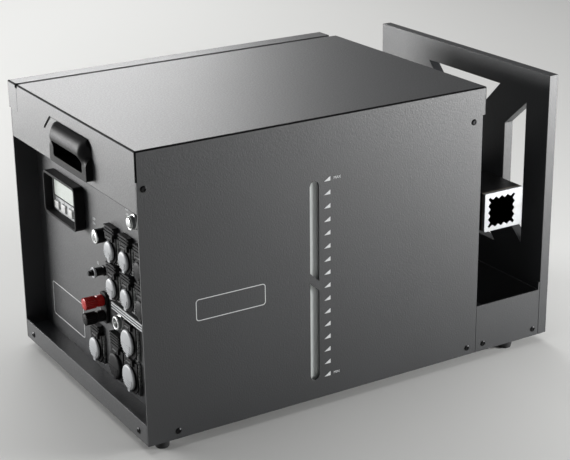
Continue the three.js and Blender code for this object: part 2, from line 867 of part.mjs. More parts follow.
// Circuit breaker with its reset button
function breakerBody() {
  const front = panelFace - breakerRingDepth;
  const ring = rodX(front, seatX, breakerY, breakerZ, breakerRingRadius, midSides);
  const barrelEnd = panelFace + breakerBarrelLength;
  const barrel = rodX(front, barrelEnd, breakerY, breakerZ, breakerBarrelRadius, midSides);
  const depth = front - breakerButtonProud + breakerButtonLength + breakerSpring;
  const bore = rodX(front - overrun, depth, breakerY, breakerZ, breakerButtonRadius + fit, midSides);
  return cut(join(ring, barrel), bore);
}

function breakerButton() {
  const tip = panelFace - breakerRingDepth - breakerButtonProud;
  return rodX(tip, tip + breakerButtonLength, breakerY, breakerZ, breakerButtonRadius, midSides);
}

// Binding posts: insulating plate with two studs, and a screwed cap on each
function postBase() {
  const front = seatX - postPlateDepth;
  const plate = box(
    front, seatX,
    postY - postPlateWidth / 2, postY + postPlateWidth / 2,
    blackPostZ - postPlateMargin, redPostZ + postPlateMargin,
  );
  const studEnd = panelFace + studBack;
  const redStud = rodX(studTip, studEnd, postY, redPostZ, studRadius, smallSides);
  const blackStud = rodX(studTip, studEnd, postY, blackPostZ, studRadius, smallSides);
  return join(plate, redStud, blackStud);
}

function postCap(z) {
  const end = seatX - postPlateDepth - fit;
  const cap = rodX(end - postLength, end, postY, z, postRadius, midSides);
  const bore = rodX(studTip - fit, end + overrun, postY, z, studRadius + fit, smallSides);
  return cut(cap, bore);
}

// Round metal socket beside the posts
function ringSocket() {
  const front = panelFace - ringSocketDepth;
  const ring = rodX(front, seatX, ringSocketY, ringSocketZ, ringSocketRadius, midSides);
  const barrelEnd = panelFace + ringSocketBarrelLength;
  const barrel = rodX(front, barrelEnd, ringSocketY, ringSocketZ, ringSocketBarrelRadius, midSides);
  const boreEnd = front + ringSocketBoreDepth;
  const bore = rodX(front - overrun, boreEnd, ringSocketY, ringSocketZ, ringSocketBore, midSides);
  return cut(join(ring, barrel), bore);
}

// A block with level ribs across its front
function ribbedBlock(front, y0, y1, z0, height, count) {
  const pitch = height / (count * 2 - 1);
  const core = box(front + ribDepth, seatX, y0, y1, z0, z0 + height);
  const ribs = Array.from({ length: count }, (_, i) => {
    const low = z0 + i * 2 * pitch;
    return box(front, seatX, y0, y1, low, low + pitch);
  });
  return join(core, ...ribs);
}

// Socket with its flange, collar, the two lugs that carry the flap's pin and the
// ribbed block above them
function socketFrame(y, z, flap, blockHeight) {
  const radius = flap / 2;
  const half = radius + flangeSide;
  const front = seatX - flangeThickness;
  const top = z + radius + flangeAbove;
  const flange = box(front, seatX, y - half, y + half, z - radius - flangeBelow, top);
  const collarFront = panelFace - collarDepth;
  const collarRadius = radius - collarInset;
  const collar = rodX(collarFront, panelFace + barrelLength, y, z, collarRadius, midSides);
  const boreEnd = collarFront + socketDepth;
  const bore = rodX(collarFront - overrun, boreEnd, y, z, collarRadius - collarWall, midSides);
  const axisZ = z + radius + hingeOffset;
  const axisX = panelFace - hingeReach;
  const inner = coverBarrelWidth / 2 + fit;
  const outer = inner + lugWidth;
  const lugFront = panelFace - flangeThickness - lugDepth;
  const lugFoot = axisZ - coverBarrelRadius;
  const notchBack = axisX + coverBarrelRadius + fit + fit;
  const notch = box(front - overrun, notchBack, y - inner, y + inner, lugFoot - fit - fit, top + overrun);
  const nearLug = box(lugFront, seatX, y - outer, y - inner, lugFoot, axisZ + lugTop);
  const farLug = box(lugFront, seatX, y + inner, y + outer, lugFoot, axisZ + lugTop);
  const bridge = box(lugFront, seatX, y - outer, y + outer, axisZ + bridgeBottom, axisZ + lugTop);
  const pin = rodY(axisX, y - inner - overrun, y + inner + overrun, axisZ, coverPinRadius, smallSides);
  const whole = join(cut(join(flange, collar), bore, notch), nearLug, farLug, bridge, pin);
  if (blockHeight === noBlock) {
    return whole;
  }
  const ribs = Math.round(blockHeight / ribPitch);
  const blockHalf = outer + blockSide;
  return join(whole, ribbedBlock(lugFront, y - blockHalf, y + blockHalf, axisZ + lugTop, blockHeight, ribs));
}

// Ribbed bar moulded above the third row of sockets
function ribbedBar() {
  const front = panelFace - collarDepth;
  const bar = ribbedBlock(front, ribBarFrom, ribBarTo, ribBarLow, ribBarHeight, ribCount);
  const neckFront = seatX - ribBarNeck;
  const neckNear = columnLarge - flangeAbove;
  const neckFar = columnLarge + flangeAbove;
  const neckFoot = rowThree + largeFlap / 2;
  const neck = box(neckFront, seatX, neckNear, neckFar, neckFoot, ribBarLow + ribBarHeight);
  return join(bar, neck);
}

// Sprung flap: domed disc with a sealing plug, an arm to the hinge and a lip
function socketFlap(y, z, flap) {
  const radius = flap / 2;
  const back = panelFace - collarDepth - flapBack;
  const front = back - flapThickness;
  const plugRadius = radius - collarInset - collarWall - flapPlugGap;
  const disc = turnedX([
    [front - flapDome, 0],
    [front - flapDome * domeEdgeShare, radius * domeWaistShare],
    [front, radius - flapDome],
    [front + flapDome, radius],
    [back, radius],
    [back, plugRadius],
    [back + flapPlugDepth, plugRadius],
    [back + flapPlugDepth, 0],
  ], y, z, midSides);
  const axisZ = z + radius + hingeOffset;
  const axisX = panelFace - hingeReach;
  const halfBarrel = coverBarrelWidth / 2;
  const barrel = rodY(axisX, y - halfBarrel, y + halfBarrel, axisZ, coverBarrelRadius, smallSides);
  const bore = rodY(axisX, y - halfBarrel - overrun, y + halfBarrel + overrun, axisZ, coverBore, smallSides);
  const armFront = axisX - coverBarrelRadius;
  const armHalf = flapArmWidth / 2;
  const arm = box(armFront, back, y - armHalf, y + armHalf, z + radius - flapDome, axisZ);
  const lipHalf = flapLipWidth / 2;
  const lipMiddle = z - radius;
  const lip = box(
    front, back, y - lipHalf, y + lipHalf, lipMiddle - flapLipDrop, lipMiddle + flapLipDrop,
  );
  return cut(join(disc, arm, barrel, lip), bore);
}

// Nozzle head: stainless box with a toothed square mouth
function mouthOutline() {
  const tooth = (mouthWidth / mouthTeeth) * mouthToothShare;
  const x0 = mouthFrom;
  const x1 = mouthFrom + mouthWidth;
  const z0 = mouthBottom;
  const z1 = mouthBottom + mouthHeight;
  const corners = [[x0, z0], [x1, z0], [x1, z1], [x0, z1]];
  const inward = [[0, 1], [-1, 0], [0, -1], [1, 0]];
  const points = [];
  corners.forEach(([ax, az], side) => {
    const [bx, bz] = corners[(side + 1) % corners.length];
    const [nx, nz] = inward[side];
    for (let i = 0; i < mouthTeeth; i += 1) {
      const from = i / mouthTeeth;
      const step = 1 / mouthTeeth;
      const rootFrom = from + step * mouthToothShare / 2;
      const rootTo = from + step - step * mouthToothShare / 2;
      if (i > 0) {
        points.push([ax + (bx - ax) * from + nx * tooth, az + (bz - az) * from + nz * tooth]);
      }
      points.push([ax + (bx - ax) * rootFrom, az + (bz - az) * rootFrom]);
      points.push([ax + (bx - ax) * rootTo, az + (bz - az) * rootTo]);
    }
  });
  return points;
}

function nozzleHousing() {
  const x1 = headFrom + headWidth;
  const z0 = swivelZ - headHeight / 2;
  const z1 = z0 + headHeight;
  const back = headFront + headLength;
  const outer = box(headFrom, x1, headFront, back, z0, z1);
  const hollow = box(headFrom + sheet, x1 - sheet, headFront + sheet, back - sheet, z0 + sheet, z1 - sheet);
  const mouth = plateY(mouthOutline(), headFront - overrun, headFront + sheet + overrun);
  return cut(outer, hollow, mouth);
}

const jetX = mouthFrom + mouthWidth / 2;

function nozzleJet() {
  const seat = headFront + headLength - sheet - fit;
  const block = box(
    jetX - jetBlockWidth / 2, jetX + jetBlockWidth / 2,
    seat - jetBlockDepth, seat,
    swivelZ - jetBlockHeight / 2, swivelZ + jetBlockHeight / 2,
  );
  const stem = rodY(jetX, jetShoulderY, seat, swivelZ, jetRadius, midSides);
  const tip = rodY(jetX, jetTipY, seat, swivelZ, jetTipRadius, smallSides);
  const above = rodY(jetX, electrodeTipY, seat, swivelZ + electrodeOffset, electrodeRadius, smallSides);
  const below = rodY(jetX, electrodeTipY, seat, swivelZ - electrodeOffset, electrodeRadius, smallSides);
  return join(block, stem, tip, above, below);
}

// Swivel arm: shaft through both bearings, hub and box-section arm
function swivelArm() {
  const shaft = rodX(shaftInnerEnd, shaftOuterEnd, swivelY, swivelZ, shaftRadius, fineSides);
  const armTo = armFrom + armWidth;
  const hub = rodX(armFrom - armHubMargin, armTo + armHubMargin, swivelY, swivelZ, armHubRadius, fineSides);
  const start = headFront + headLength + fit;
  const arm = box(armFrom, armTo, start, swivelY, swivelZ - armHeight / 2, swivelZ + armHeight / 2);
  return join(shaft, hub, arm);
}

// A toothed outline in Y and Z, starting on a tooth or on a gap at a given angle
function gearOutline(y, z, teeth, startAngle) {
  const pitchRadius = gearModule * teeth / 2;
  const tip = pitchRadius + gearModule * addendumShare;
  const root = pitchRadius - gearModule * dedendumShare;
  const step = 2 * Math.PI / teeth;
  const points = [];
  for (let i = 0; i < teeth; i += 1) {
    const middle = startAngle + step * i;
    const corners = [
      [root, -toothRootShare], [tip, -toothTipShare], [tip, toothTipShare], [root, toothRootShare],
    ];
    corners.forEach(([radius, share]) => {
      const angle = middle + step * share;
      points.push([y + radius * Math.cos(angle), z + radius * Math.sin(angle)]);
    });
  }
  return points;
}

const centreDistance = gearModule * (gearTeeth + pinionTeeth) / 2 + gearBacklash;
const motorY = swivelY + centreDistance;
const gearTo = gearFrom + gearWidth;

function swivelGear() {
  const blank = plateX(gearOutline(swivelY, swivelZ, gearTeeth, 0), gearFrom, gearTo);
  const bore = rodX(gearFrom - overrun, gearTo + overrun, swivelY, swivelZ, shaftRadius + fit, fineSides);
  return cut(blank, bore);
}

function motorPinion() {
  const gapAngle = Math.PI + Math.PI / pinionTeeth;
  const teeth = plateX(gearOutline(motorY, swivelZ, pinionTeeth, gapAngle), gearFrom, gearTo);
  const shaftFrom = motorPlateFace - pinionShaftDepth + fit;
  const shaft = rodX(shaftFrom, pinionShaftEnd, motorY, swivelZ, pinionShaftRadius, midSides);
  return join(teeth, shaft);
}

// Swivel motor on a plate that four posts hold off the bulkhead
function swivelMotor() {
  const plateFrom = motorPlateFace - motorPlateThickness;
  const caseFrom = plateFrom - motorLength;
  const half = motorSide / 2;
  const body = box(caseFrom, plateFrom, motorY - half, motorY + half, swivelZ - half, swivelZ + half);
  const plate = box(
    plateFrom, motorPlateFace,
    motorY - motorPostNear - motorPlateEdge, motorY + motorPostFar + motorPlateEdge,
    swivelZ - motorPlateHalfHeight, swivelZ + motorPlateHalfHeight,
  );
  const postEnd = bulkheadInside - fit;
  const posts = [-motorPostNear, motorPostFar].flatMap((dy) =>
    [-motorPostHeight, motorPostHeight].map((dz) =>
      rodX(plateFrom, postEnd, motorY + dy, swivelZ + dz, motorPostRadius, smallSides)));
  const boreFrom = motorPlateFace - pinionShaftDepth;
  const bore = rodX(boreFrom, motorPlateFace + overrun, motorY, swivelZ, pinionShaftRadius + fit, midSides);
  return cut(join(body, plate, ...posts), bore);
}

// Guard plate: web with a turned edge, four flanged windows and a bearing boss
function windowOutline(side, grow) {
  const isSide = side === 'near' || side === 'far';
  const reach = isSide ? sideWindowReach : endWindowReach;
  const outer = reach + grow;
  const inner = reach - windowDepth - grow;
  const outerHalf = (isSide ? sideWindowHalf : endWindowHalf) + grow * rimCornerShare;
  const innerHalf = (isSide ? sideWindowInnerHalf : endWindowInnerHalf) + grow / rimCornerShare;
  const sign = side === 'near' || side === 'low' ? -1 : 1;
  const corners = [
    [sign * outer, -outerHalf],
    [sign * outer, outerHalf],
    [sign * inner, innerHalf],
    [sign * inner, -innerHalf],
  ];
  return corners.map(([a, b]) => (isSide ? [crossY + a, crossZ + b] : [crossY + b, crossZ + a]));
}

const windowSides = ['near', 'far', 'low', 'high'];

function guardPlate() {
  const outerX = bayEnd + guardFlange;
  const block = box(bayEnd, outerX, 0, bodyWidth, 0, guardHeight);
  const dish = box(
    bayEnd + sheet, outerX + overrun,
    sheet, bodyWidth - sheet,
    sheet, guardHeight - sheet,
  );
  const pan = cut(block, dish);
  const rims = windowSides.map((side) => plateX(windowOutline(side, sheet), bayEnd, outerX));
  const holes = windowSides.map((side) => plateX(windowOutline(side, 0), bayEnd - overrun, outerX + overrun));
  const bossEnd = shaftOuterEnd - fit;
  const boss = rodX(bayEnd, bossEnd, swivelY, swivelZ, guardBossRadius, fineSides);
  const boreRadius = shaftRadius + fit + fit;
  const bore = rodX(bayEnd - overrun, bossEnd + overrun, swivelY, swivelZ, boreRadius, fineSides);
  return cut(join(pan, ...rims, boss), ...holes, bore);
}

// Fuel tank: blow-moulded box with a filler neck, and its screw cap
const neckX = tankFrom + tankLength / 2;
const neckY = tankNear + tankWidth / 2;

function tankOutline(grow) {
  const x0 = tankFrom - grow;
  const x1 = tankFrom + tankLength + grow;
  const y0 = tankNear - grow;
  const y1 = tankNear + tankWidth + grow;
  const corner = tankCorner;
  return [
    [x0 + corner, y0], [x1 - corner, y0], [x1, y0 + corner], [x1, y1 - corner],
    [x1 - corner, y1], [x0 + corner, y1], [x0, y1 - corner], [x0, y0 + corner],
  ];
}

function upright(points, z0, z1) {
  const geometry = new THREE.ExtrudeGeometry(outline(points), { depth: z1 - z0, bevelEnabled: false });
  geometry.translate(0, 0, z0);
  return toSolid(geometry);
}

function fuelTank() {
  const skin = upright(tankOutline(0), floorTop, tankTop);
  const hollow = upright(tankOutline(-tankWall), floorTop + tankWall, tankTop - tankWall);
  const neckFoot = tankTop - tankWall;
  const neckTop = tankTop + neckHeight;
  const neck = rodZ(neckX, neckY, neckFoot, neckTop, neckRadius, fineSides);
  const bore = rodZ(neckX, neckY, neckFoot - overrun, neckTop + overrun, neckBore, fineSides);
  return cut(join(cut(skin, hollow), neck), bore);
}

function fillerCap() {
  const low = tankTop + neckShoulder;
  const top = low + capHeight;
  const inside = tankTop + neckHeight + fit;
  const outer = rodZ(neckX, neckY, low, top, capRadius, fineSides);
  const hollow = rodZ(neckX, neckY, low - overrun, inside, neckRadius + fit, fineSides);
  return cut(outer, hollow);
}

// Fuel pump and ignition transformer, both standing on the tray
function fuelPump() {
  const x1 = pumpFrom + pumpLength;
  const y1 = pumpNear + pumpWidth;
  const base = box(pumpFrom, x1, pumpNear, y1, floorTop, floorTop + pumpBase);
  const axisY = pumpNear + pumpWidth / 2;
  const axisZ = floorTop + pumpBase + pumpRadius - sheet;
  const drum = rodX(pumpFrom + pumpBase, x1 - pumpBase, axisY, axisZ, pumpRadius, fineSides);
  const portX = pumpFrom + pumpBase * 2;
  const port = rodZ(portX, axisY, axisZ, axisZ + pumpRadius + pumpPortHeight, pumpPortRadius, smallSides);
  return join(base, drum, port);
}

function ignitionTransformer() {
  const x1 = transformerFrom + transformerLength;
  const y1 = transformerNear + transformerWidth;
  const top = floorTop + transformerHeight;
  const core = box(transformerFrom, x1, transformerNear, y1, floorTop, top);
  const footFrom = transformerFrom - transformerFoot;
  const foot = box(footFrom, x1 + transformerFoot, transformerNear, y1, floorTop, floorTop + sheet);
  const middleX = (transformerFrom + x1) / 2;
  const middleY = (transformerNear + y1) / 2;
  const posts = [-1, 1].map((side) => {
    const postX = middleX + side * insulatorSpacing / 2;
    return rodZ(postX, middleY, top - sheet, top + insulatorHeight, insulatorRadius, smallSides);
  });
  return join(core, foot, ...posts);
}

// A rubber foot with its screw recess
function rubberFoot(x, y) {
  return turnedZ([
    [0, -footHeight + footBoreDepth],
    [footBore, -footHeight + footBoreDepth],
    [footBore, -footHeight],
    [footRadius - footTaper, -footHeight],
    [footRadius, -fit],
    [0, -fit],
  ], x, y, midSides);
}

// Assembly
addPiece('base_tray', baseTray(), 'blackPowder');
addPiece('near_side_panel', nearSidePanel(), 'blackPowder');
addPiece('far_side_panel', sidePanel(bodyWidth, -1), 'blackPowder');
addPiece('front_band', frontBand(), 'blackPowder');
addPiece('control_panel', controlPanel(), 'blackPowder');
addPiece('bay_bulkhead', bayBulkhead(), 'blackPowder');
addPiece('lid', lid(), 'blackPowder', [0, seamWidth, hingeZ]);
addPiece('rear_strip', rearStrip(), 'blackPowder');
addPiece('carry_handle', carryHandle(), 'blackPlastic');
addPiece('display_bezel', displayBezel(), 'blackPlastic');
addPiece('display_board', displayBoard(), 'display');
keyMiddles.forEach((y, i) => {
  addPiece(`menu_key_${i + 1}`, menuKey(y), 'greyPlastic', [panelFace, y, keyLevel]);
});
addPiece('power_button_ring', powerButtonRing(), 'chrome');
addPiece('power_button', powerButton(), 'chrome', [panelFace, buttonY, buttonZ]);
addPiece('key_switch_body', keySwitchBody(), 'blackPlastic');
addPiece('key_cylinder', keyCylinder(), 'chrome', [panelFace, keySwitchY, keySwitchZ]);
addPiece('breaker_body', breakerBody(), 'greyPlastic');
addPiece('breaker_button', breakerButton(), 'blackPlastic', [panelFace, breakerY, breakerZ]);
addPiece('post_base', postBase(), 'blackPlastic');
addPiece('red_post_cap', postCap(redPostZ), 'redPlastic', [panelFace, postY, redPostZ]);
addPiece('black_post_cap', postCap(blackPostZ), 'blackPlastic', [panelFace, postY, blackPostZ]);
addPiece('ring_socket', ringSocket(), 'chrome');
socketPlaces.forEach(([name, y, z, flap, blockHeight]) => {
  const frame = socketFrame(y, z, flap, blockHeight);
  addPiece(`socket_${name}`, name === 'b3' ? join(frame, ribbedBar()) : frame, 'blackPlastic');
  const pivot = [panelFace - hingeReach, y, z + flap / 2 + hingeOffset];
  const finish = blackFlaps.includes(name) ? 'blackPlastic' : 'greyPlastic';
  addPiece(`flap_${name}`, socketFlap(y, z, flap), finish, pivot);
});
addPiece('guard_plate', guardPlate(), 'blackPowder');
addPiece('swivel_arm', swivelArm(), 'blackPowder', [armFrom, swivelY, swivelZ]);
addPiece('swivel_gear', swivelGear(), 'steel', [gearFrom, swivelY, swivelZ]);
addPiece('nozzle_housing', nozzleHousing(), 'stainless', [armFrom, swivelY, swivelZ]);
addPiece('nozzle_jet', nozzleJet(), 'brass', [armFrom, swivelY, swivelZ]);
addPiece('swivel_motor', swivelMotor(), 'steel');
addPiece('motor_pinion', motorPinion(), 'brass', [gearFrom, motorY, swivelZ]);
addPiece('fuel_tank', fuelTank(), 'tank');
addPiece('filler_cap', fillerCap(), 'blackPlastic', [neckX, neckY, tankTop]);
addPiece('fuel_pump', fuelPump(), 'steel');
addPiece('ignition_transformer', ignitionTransformer(), 'greyPlastic');
addPiece('foot_1', rubberFoot(footFront, footInset), 'rubber');
addPiece('foot_2', rubberFoot(footFront, bodyWidth - footInset), 'rubber');
addPiece('foot_3', rubberFoot(footRear, footInset), 'rubber');
addPiece('foot_4', rubberFoot(footRear, bodyWidth - footInset), 'rubber');

// The origin goes under the middle of the whole machine, at the feet
const middleX = (bayEnd + guardFlange - handleProud) / 2;
machine.position.set(-middleX, -bodyWidth / 2, footHeight);

const flameMachine = new THREE.Group();
flameMachine.add(machine);
flameMachine.updateMatrixWorld(true);

export default flameMachine;
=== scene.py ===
"""Looks of a stage flame machine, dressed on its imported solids.

The sections follow the machine as it is put together: tray, panels, control end,
sockets, lid, nozzle bay, drive, tank. Places are millimetres in the machine's own
frame, X from the control end, Y from the near side, Z from the underside of the tray.
"""
import math

import bmesh
import bpy
from mathutils import Matrix, Vector


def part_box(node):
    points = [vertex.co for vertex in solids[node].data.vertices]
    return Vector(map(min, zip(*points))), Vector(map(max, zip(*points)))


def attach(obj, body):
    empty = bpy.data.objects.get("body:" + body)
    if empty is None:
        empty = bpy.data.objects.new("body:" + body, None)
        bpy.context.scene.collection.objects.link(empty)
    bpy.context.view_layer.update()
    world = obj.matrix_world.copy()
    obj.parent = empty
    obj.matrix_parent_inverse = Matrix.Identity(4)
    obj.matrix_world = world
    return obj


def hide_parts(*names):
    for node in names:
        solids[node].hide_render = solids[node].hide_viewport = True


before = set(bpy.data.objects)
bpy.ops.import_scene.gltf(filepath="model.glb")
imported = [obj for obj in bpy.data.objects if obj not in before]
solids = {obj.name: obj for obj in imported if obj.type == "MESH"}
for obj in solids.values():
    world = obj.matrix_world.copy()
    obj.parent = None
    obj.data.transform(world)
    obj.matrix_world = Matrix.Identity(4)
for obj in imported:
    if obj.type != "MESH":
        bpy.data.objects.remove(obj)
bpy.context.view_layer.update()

# Camera. It stands where the photographer stood, to the left of the control end and
# above the lid. Its lens and place were worked out from the edges of the machine.
camera_place = Vector((-0.9500, -1.5793, 0.8524))
camera_heading = math.radians(30.03)
camera_dip = math.radians(19.32)
camera_lean = math.radians(-1.10)
photo_width, photo_height = 570, 460
focal_pixels = 1489.2
centre_right, centre_down = 255, 200
sensor_width = 36
forward = Vector((
    math.sin(camera_heading) * math.cos(camera_dip),
    math.cos(camera_heading) * math.cos(camera_dip),
    -math.sin(camera_dip),
))
level_right = forward.cross(Vector((0, 0, 1))).normalized()
level_up = level_right.cross(forward)
camera_right = level_right * math.cos(camera_lean) + level_up * math.sin(camera_lean)
camera_up = camera_right.cross(forward)
lens = bpy.data.cameras.new("photo_camera")
lens.sensor_width = sensor_width
lens.lens = focal_pixels * sensor_width / photo_width
lens.shift_x = (photo_width / 2 - centre_right) / photo_width
lens.shift_y = (centre_down - photo_height / 2) / photo_width
lens.clip_start = 0.05
lens.clip_end = 40


def new_object(name, data):
    """A new object in the scene."""
    made = bpy.data.objects.new(name, data)
    bpy.context.scene.collection.objects.link(made)
    return made


camera = new_object("photo_camera", lens)
turn = Matrix((camera_right, camera_up, -forward)).transposed()
camera.matrix_world = Matrix.Translation(camera_place) @ turn.to_4x4()
bpy.context.scene.camera = camera


# Studio. A plain pale floor that runs out past the view, a dim pale world, three
# soft lamps low around the machine, and a wide one overhead for the floor.
def linear(hex_colour):
    """An sRGB hex colour as the linear values that Blender's sockets take."""
    shares = [int(hex_colour[i:i + 2], 16) / 255 for i in (1, 3, 5)]
    return [s / 12.92 if s <= 0.04045 else ((s + 0.055) / 1.055) ** 2.4 for s in shares] + [1]


def add_node(tree, kind, settings=None, inputs=None):
    """One node with its settings, and its inputs, each a value or another node's socket."""
    node = tree.nodes.new(kind)
    for key, value in (settings or {}).items():
        setattr(node, key, value)
    for key, value in (inputs or {}).items():
        if isinstance(value, bpy.types.NodeSocket):
            tree.links.new(value, node.inputs[key])
        else:
            node.inputs[key].default_value = value
    return node


def start_finish(name, hex_colour, metallic, roughness):
    """A material with its main shader, whose plain values are set on its own sockets."""
    finish = bpy.data.materials.new(name)
    finish.use_nodes = True
    tree = finish.node_tree
    tree.nodes.clear()
    shader = add_node(tree, "ShaderNodeBsdfPrincipled", inputs={
        "Base Color": linear(hex_colour),
        "Metallic": metallic,
        "Roughness": roughness,
    })
    add_node(tree, "ShaderNodeOutputMaterial", inputs={"Surface": shader.outputs["BSDF"]})
    return finish, tree, shader


floor_reach = 9.0
floor_mesh = bpy.data.meshes.new("floor")
floor_mesh.from_pydata(
    [(-floor_reach, -floor_reach, 0), (floor_reach, -floor_reach, 0),
     (floor_reach, floor_reach, 0), (-floor_reach, floor_reach, 0)],
    [], [(0, 1, 2, 3)],
)
floor_mesh.materials.append(start_finish("matt_studio_paper", "#D9D9D7", 0.0, 0.9)[0])
new_object("floor", floor_mesh)

world = bpy.data.worlds.new("studio_world")
world.use_nodes = True
world_tree = world.node_tree
world_tree.nodes.clear()
sky_strength = 0.12
sky = add_node(world_tree, "ShaderNodeBackground", inputs={
    "Color": linear("#E6E7E8"), "Strength": sky_strength})
add_node(world_tree, "ShaderNodeOutputWorld", inputs={"Surface": sky.outputs["Background"]})
bpy.context.scene.world = world
bpy.context.scene.view_settings.view_transform = "Standard"

# name, place, aim, width, height, watts
lamps = [
    ("lamp_behind", (0.85, 3.0, 1.45), (-0.2, -0.1, 0.37), 1.3, 0.8, 29),
    ("lamp_control_end", (-1.75, 1.85, 0.42), (-0.3, 0.0, 0.2), 1.5, 0.7, 78),
    ("lamp_front", (1.15, -0.95, 0.3), (0.3, -0.1, 0.18), 0.6, 0.4, 25),
    ("lamp_overhead", (0.0, 0.9, 3.2), (0.0, 0.9, 0.0), 3.4, 3.4, 58),
]
for lamp_name, lamp_place, lamp_aim, lamp_width, lamp_height, lamp_watts in lamps:
    lamp = bpy.data.lights.new(lamp_name, "AREA")
    lamp.shape = "RECTANGLE"
    lamp.size = lamp_width
    lamp.size_y = lamp_height
    lamp.energy = lamp_watts
    holder = new_object(lamp_name, lamp)
    holder.location = lamp_place
    lamp_heading = Vector(lamp_aim) - Vector(lamp_place)
    holder.rotation_euler = lamp_heading.to_track_quat("-Z", "Y").to_euler()


# Tray. A folded 2 mm steel pan under the whole machine, with a rail across the
# control end and low walls round the nozzle bay, all in black powder coat.
origin_x, origin_y, origin_z = 292.5, 184.0, -12.0
millimetre = 0.001
to_frame = Matrix.Scale(millimetre, 4) @ Matrix.Translation((-origin_x, -origin_y, -origin_z))


def add_relief(tree, shader, height, gloss_low, gloss_high, depth_mm):
    """Lets a noise shape the gloss and the bump of a finish."""
    noise_low, noise_high = 0.3, 0.7
    gloss = add_node(tree, "ShaderNodeMapRange", inputs={
        "Value": height, "From Min": noise_low, "From Max": noise_high,
        "To Min": gloss_low, "To Max": gloss_high})
    tree.links.new(gloss.outputs["Result"], shader.inputs["Roughness"])
    bump = add_node(tree, "ShaderNodeBump", inputs={
        "Height": height, "Strength": 1.0, "Distance": depth_mm * millimetre})
    tree.links.new(bump.outputs["Normal"], shader.inputs["Normal"])


def grained_finish(
        name, hex_dark, hex_light, grain_mm, roughness, depth_mm=0.03, metallic=0.0, **plain_values):
    """A finish with a cloudy tone and a grain that shapes its gloss and its bump."""
    finish, tree, shader = start_finish(name, hex_dark, metallic, roughness)
    for key, value in plain_values.items():
        shader.inputs[key.replace("_", " ")].default_value = value
    place = add_node(tree, "ShaderNodeTexCoord").outputs["Object"]
    tone_size_mm = 110
    cloud = add_node(tree, "ShaderNodeTexNoise", inputs={
        "Vector": place, "Scale": 1 / (tone_size_mm * millimetre), "Detail": 4.0})
    tone = add_node(tree, "ShaderNodeMix", {"data_type": "RGBA"}, {"Factor": cloud.outputs["Fac"]})
    tone.inputs[6].default_value = linear(hex_dark)
    tone.inputs[7].default_value = linear(hex_light)
    tree.links.new(tone.outputs[2], shader.inputs["Base Color"])
    grain = add_node(tree, "ShaderNodeTexNoise", inputs={
        "Vector": place, "Scale": 1 / (grain_mm * millimetre), "Detail": 2.0})
    gloss_spread = 0.08
    add_relief(tree, shader, grain.outputs["Fac"], roughness - gloss_spread, roughness + gloss_spread,
               depth_mm)
    return finish


# Fine-texture powder coat over steel: black epoxy with a pebbled skin, which spreads
# a lamp into a soft grey sheen. The real pebble is about 1 mm; it is drawn at 2 mm
# so that it shows.
black_coat = grained_finish(
    "black_powder_coat", "#1A1B1D", "#26282B", 2.0, 0.45, 0.26,
    Coat_Weight=0.5, Coat_Roughness=0.5, Coat_IOR=1.6)


def shade(mesh, smooth):
    """Smooth shading, up to an angle between faces."""
    mesh.polygons.foreach_set("use_smooth", [True] * len(mesh.polygons))
    mesh.set_sharp_from_angle(angle=math.radians(smooth))


def finish_piece(name, shape, finish, body, stands_for=(), smooth=35):
    """Makes the shape, already in the frame, a piece that rides on a body."""
    mesh = bpy.data.meshes.new(name)
    shape.to_mesh(mesh)
    shape.free()
    shade(mesh, smooth)
    mesh.materials.append(finish)
    piece = new_object(name, mesh)
    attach(piece, body)
    if stands_for:
        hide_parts(*stands_for)
    return piece


def round_edges(piece, width_mm, steps=2, angle=50):
    """Rounds a piece's folds and cut edges, and keeps its flat faces flat."""
    bevel = piece.modifiers.new("rounded_edges", "BEVEL")
    bevel.width = width_mm * millimetre
    bevel.segments = steps
    bevel.limit_method = "ANGLE"
    bevel.angle_limit = math.radians(angle)
    bevel.use_clamp_overlap = True
    flat = piece.modifiers.new("flat_faces", "WEIGHTED_NORMAL")
    flat.weight = 80
    flat.keep_sharp = True
    return piece


def merged_copy(node):
    """A copy of a solid, with its loose triangles merged and its flat faces whole."""
    merge_reach, flat_within = 0.00001, 0.5
    shape = bmesh.new()
    shape.from_mesh(solids[node].data)
    bmesh.ops.remove_doubles(shape, verts=shape.verts, dist=merge_reach)
    bmesh.ops.dissolve_limit(
        shape, angle_limit=math.radians(flat_within), verts=shape.verts, edges=shape.edges)
    return shape


def rounded_copy(node, body, edge_mm, finish, steps=2, shape=None):
    """A piece in a solid's place: its copy with rounded edges and a finish."""
    shape = shape or merged_copy(node)
    piece = finish_piece(f"{node}_finished", shape, finish, body, [node])
    return round_edges(piece, edge_mm, steps, 30)


rounded_copy("base_tray", "machine", 0.6, black_coat)


# Side panels. Flat powder-coated sheets screwed to the tray and to the folds of the
# lid frame. The near one has a long slot, bridged once, to see the fuel level.
def bent_copy(node, body, is_bend, bend_mm, steps, edge_mm, finish, bend_finish):
    """A rounded copy whose chosen long edges get their bend radius and a finish of their own."""
    shape = merged_copy(node)
    back = to_frame.inverted()
    bends = [e for e in shape.edges if is_bend(*map(sorted, zip(*(back @ v.co for v in e.verts))))]
    bent = bmesh.ops.bevel(
        shape, geom=bends, offset=bend_mm * millimetre, segments=steps, profile=0.5,
        affect="EDGES", clamp_overlap=True)
    for face in bent["faces"]:
        face.material_index = 1
    rounded_copy(node, body, edge_mm, finish, shape=shape).data.materials.append(bend_finish)


# Folds and some long cut edges get a near-black matt finish that hardly shines: a painted shade line for
# the shade on these rounded edges.
fold_shade_coat = grained_finish(
    "painted_shade_on_folds", "#070708", "#0B0B0C", 2.0, 0.6, 0.02, Specular_IOR_Level=0.08)
hair, under_lid, longer_than_a_notch = 0.1, 324, 5


def side_top_edge(x, y, z):
    """Whether an edge, given as its reach along each axis, is the panel's outer top edge."""
    return y[1] < hair and z[0] > under_lid and x[1] - x[0] > longer_than_a_notch
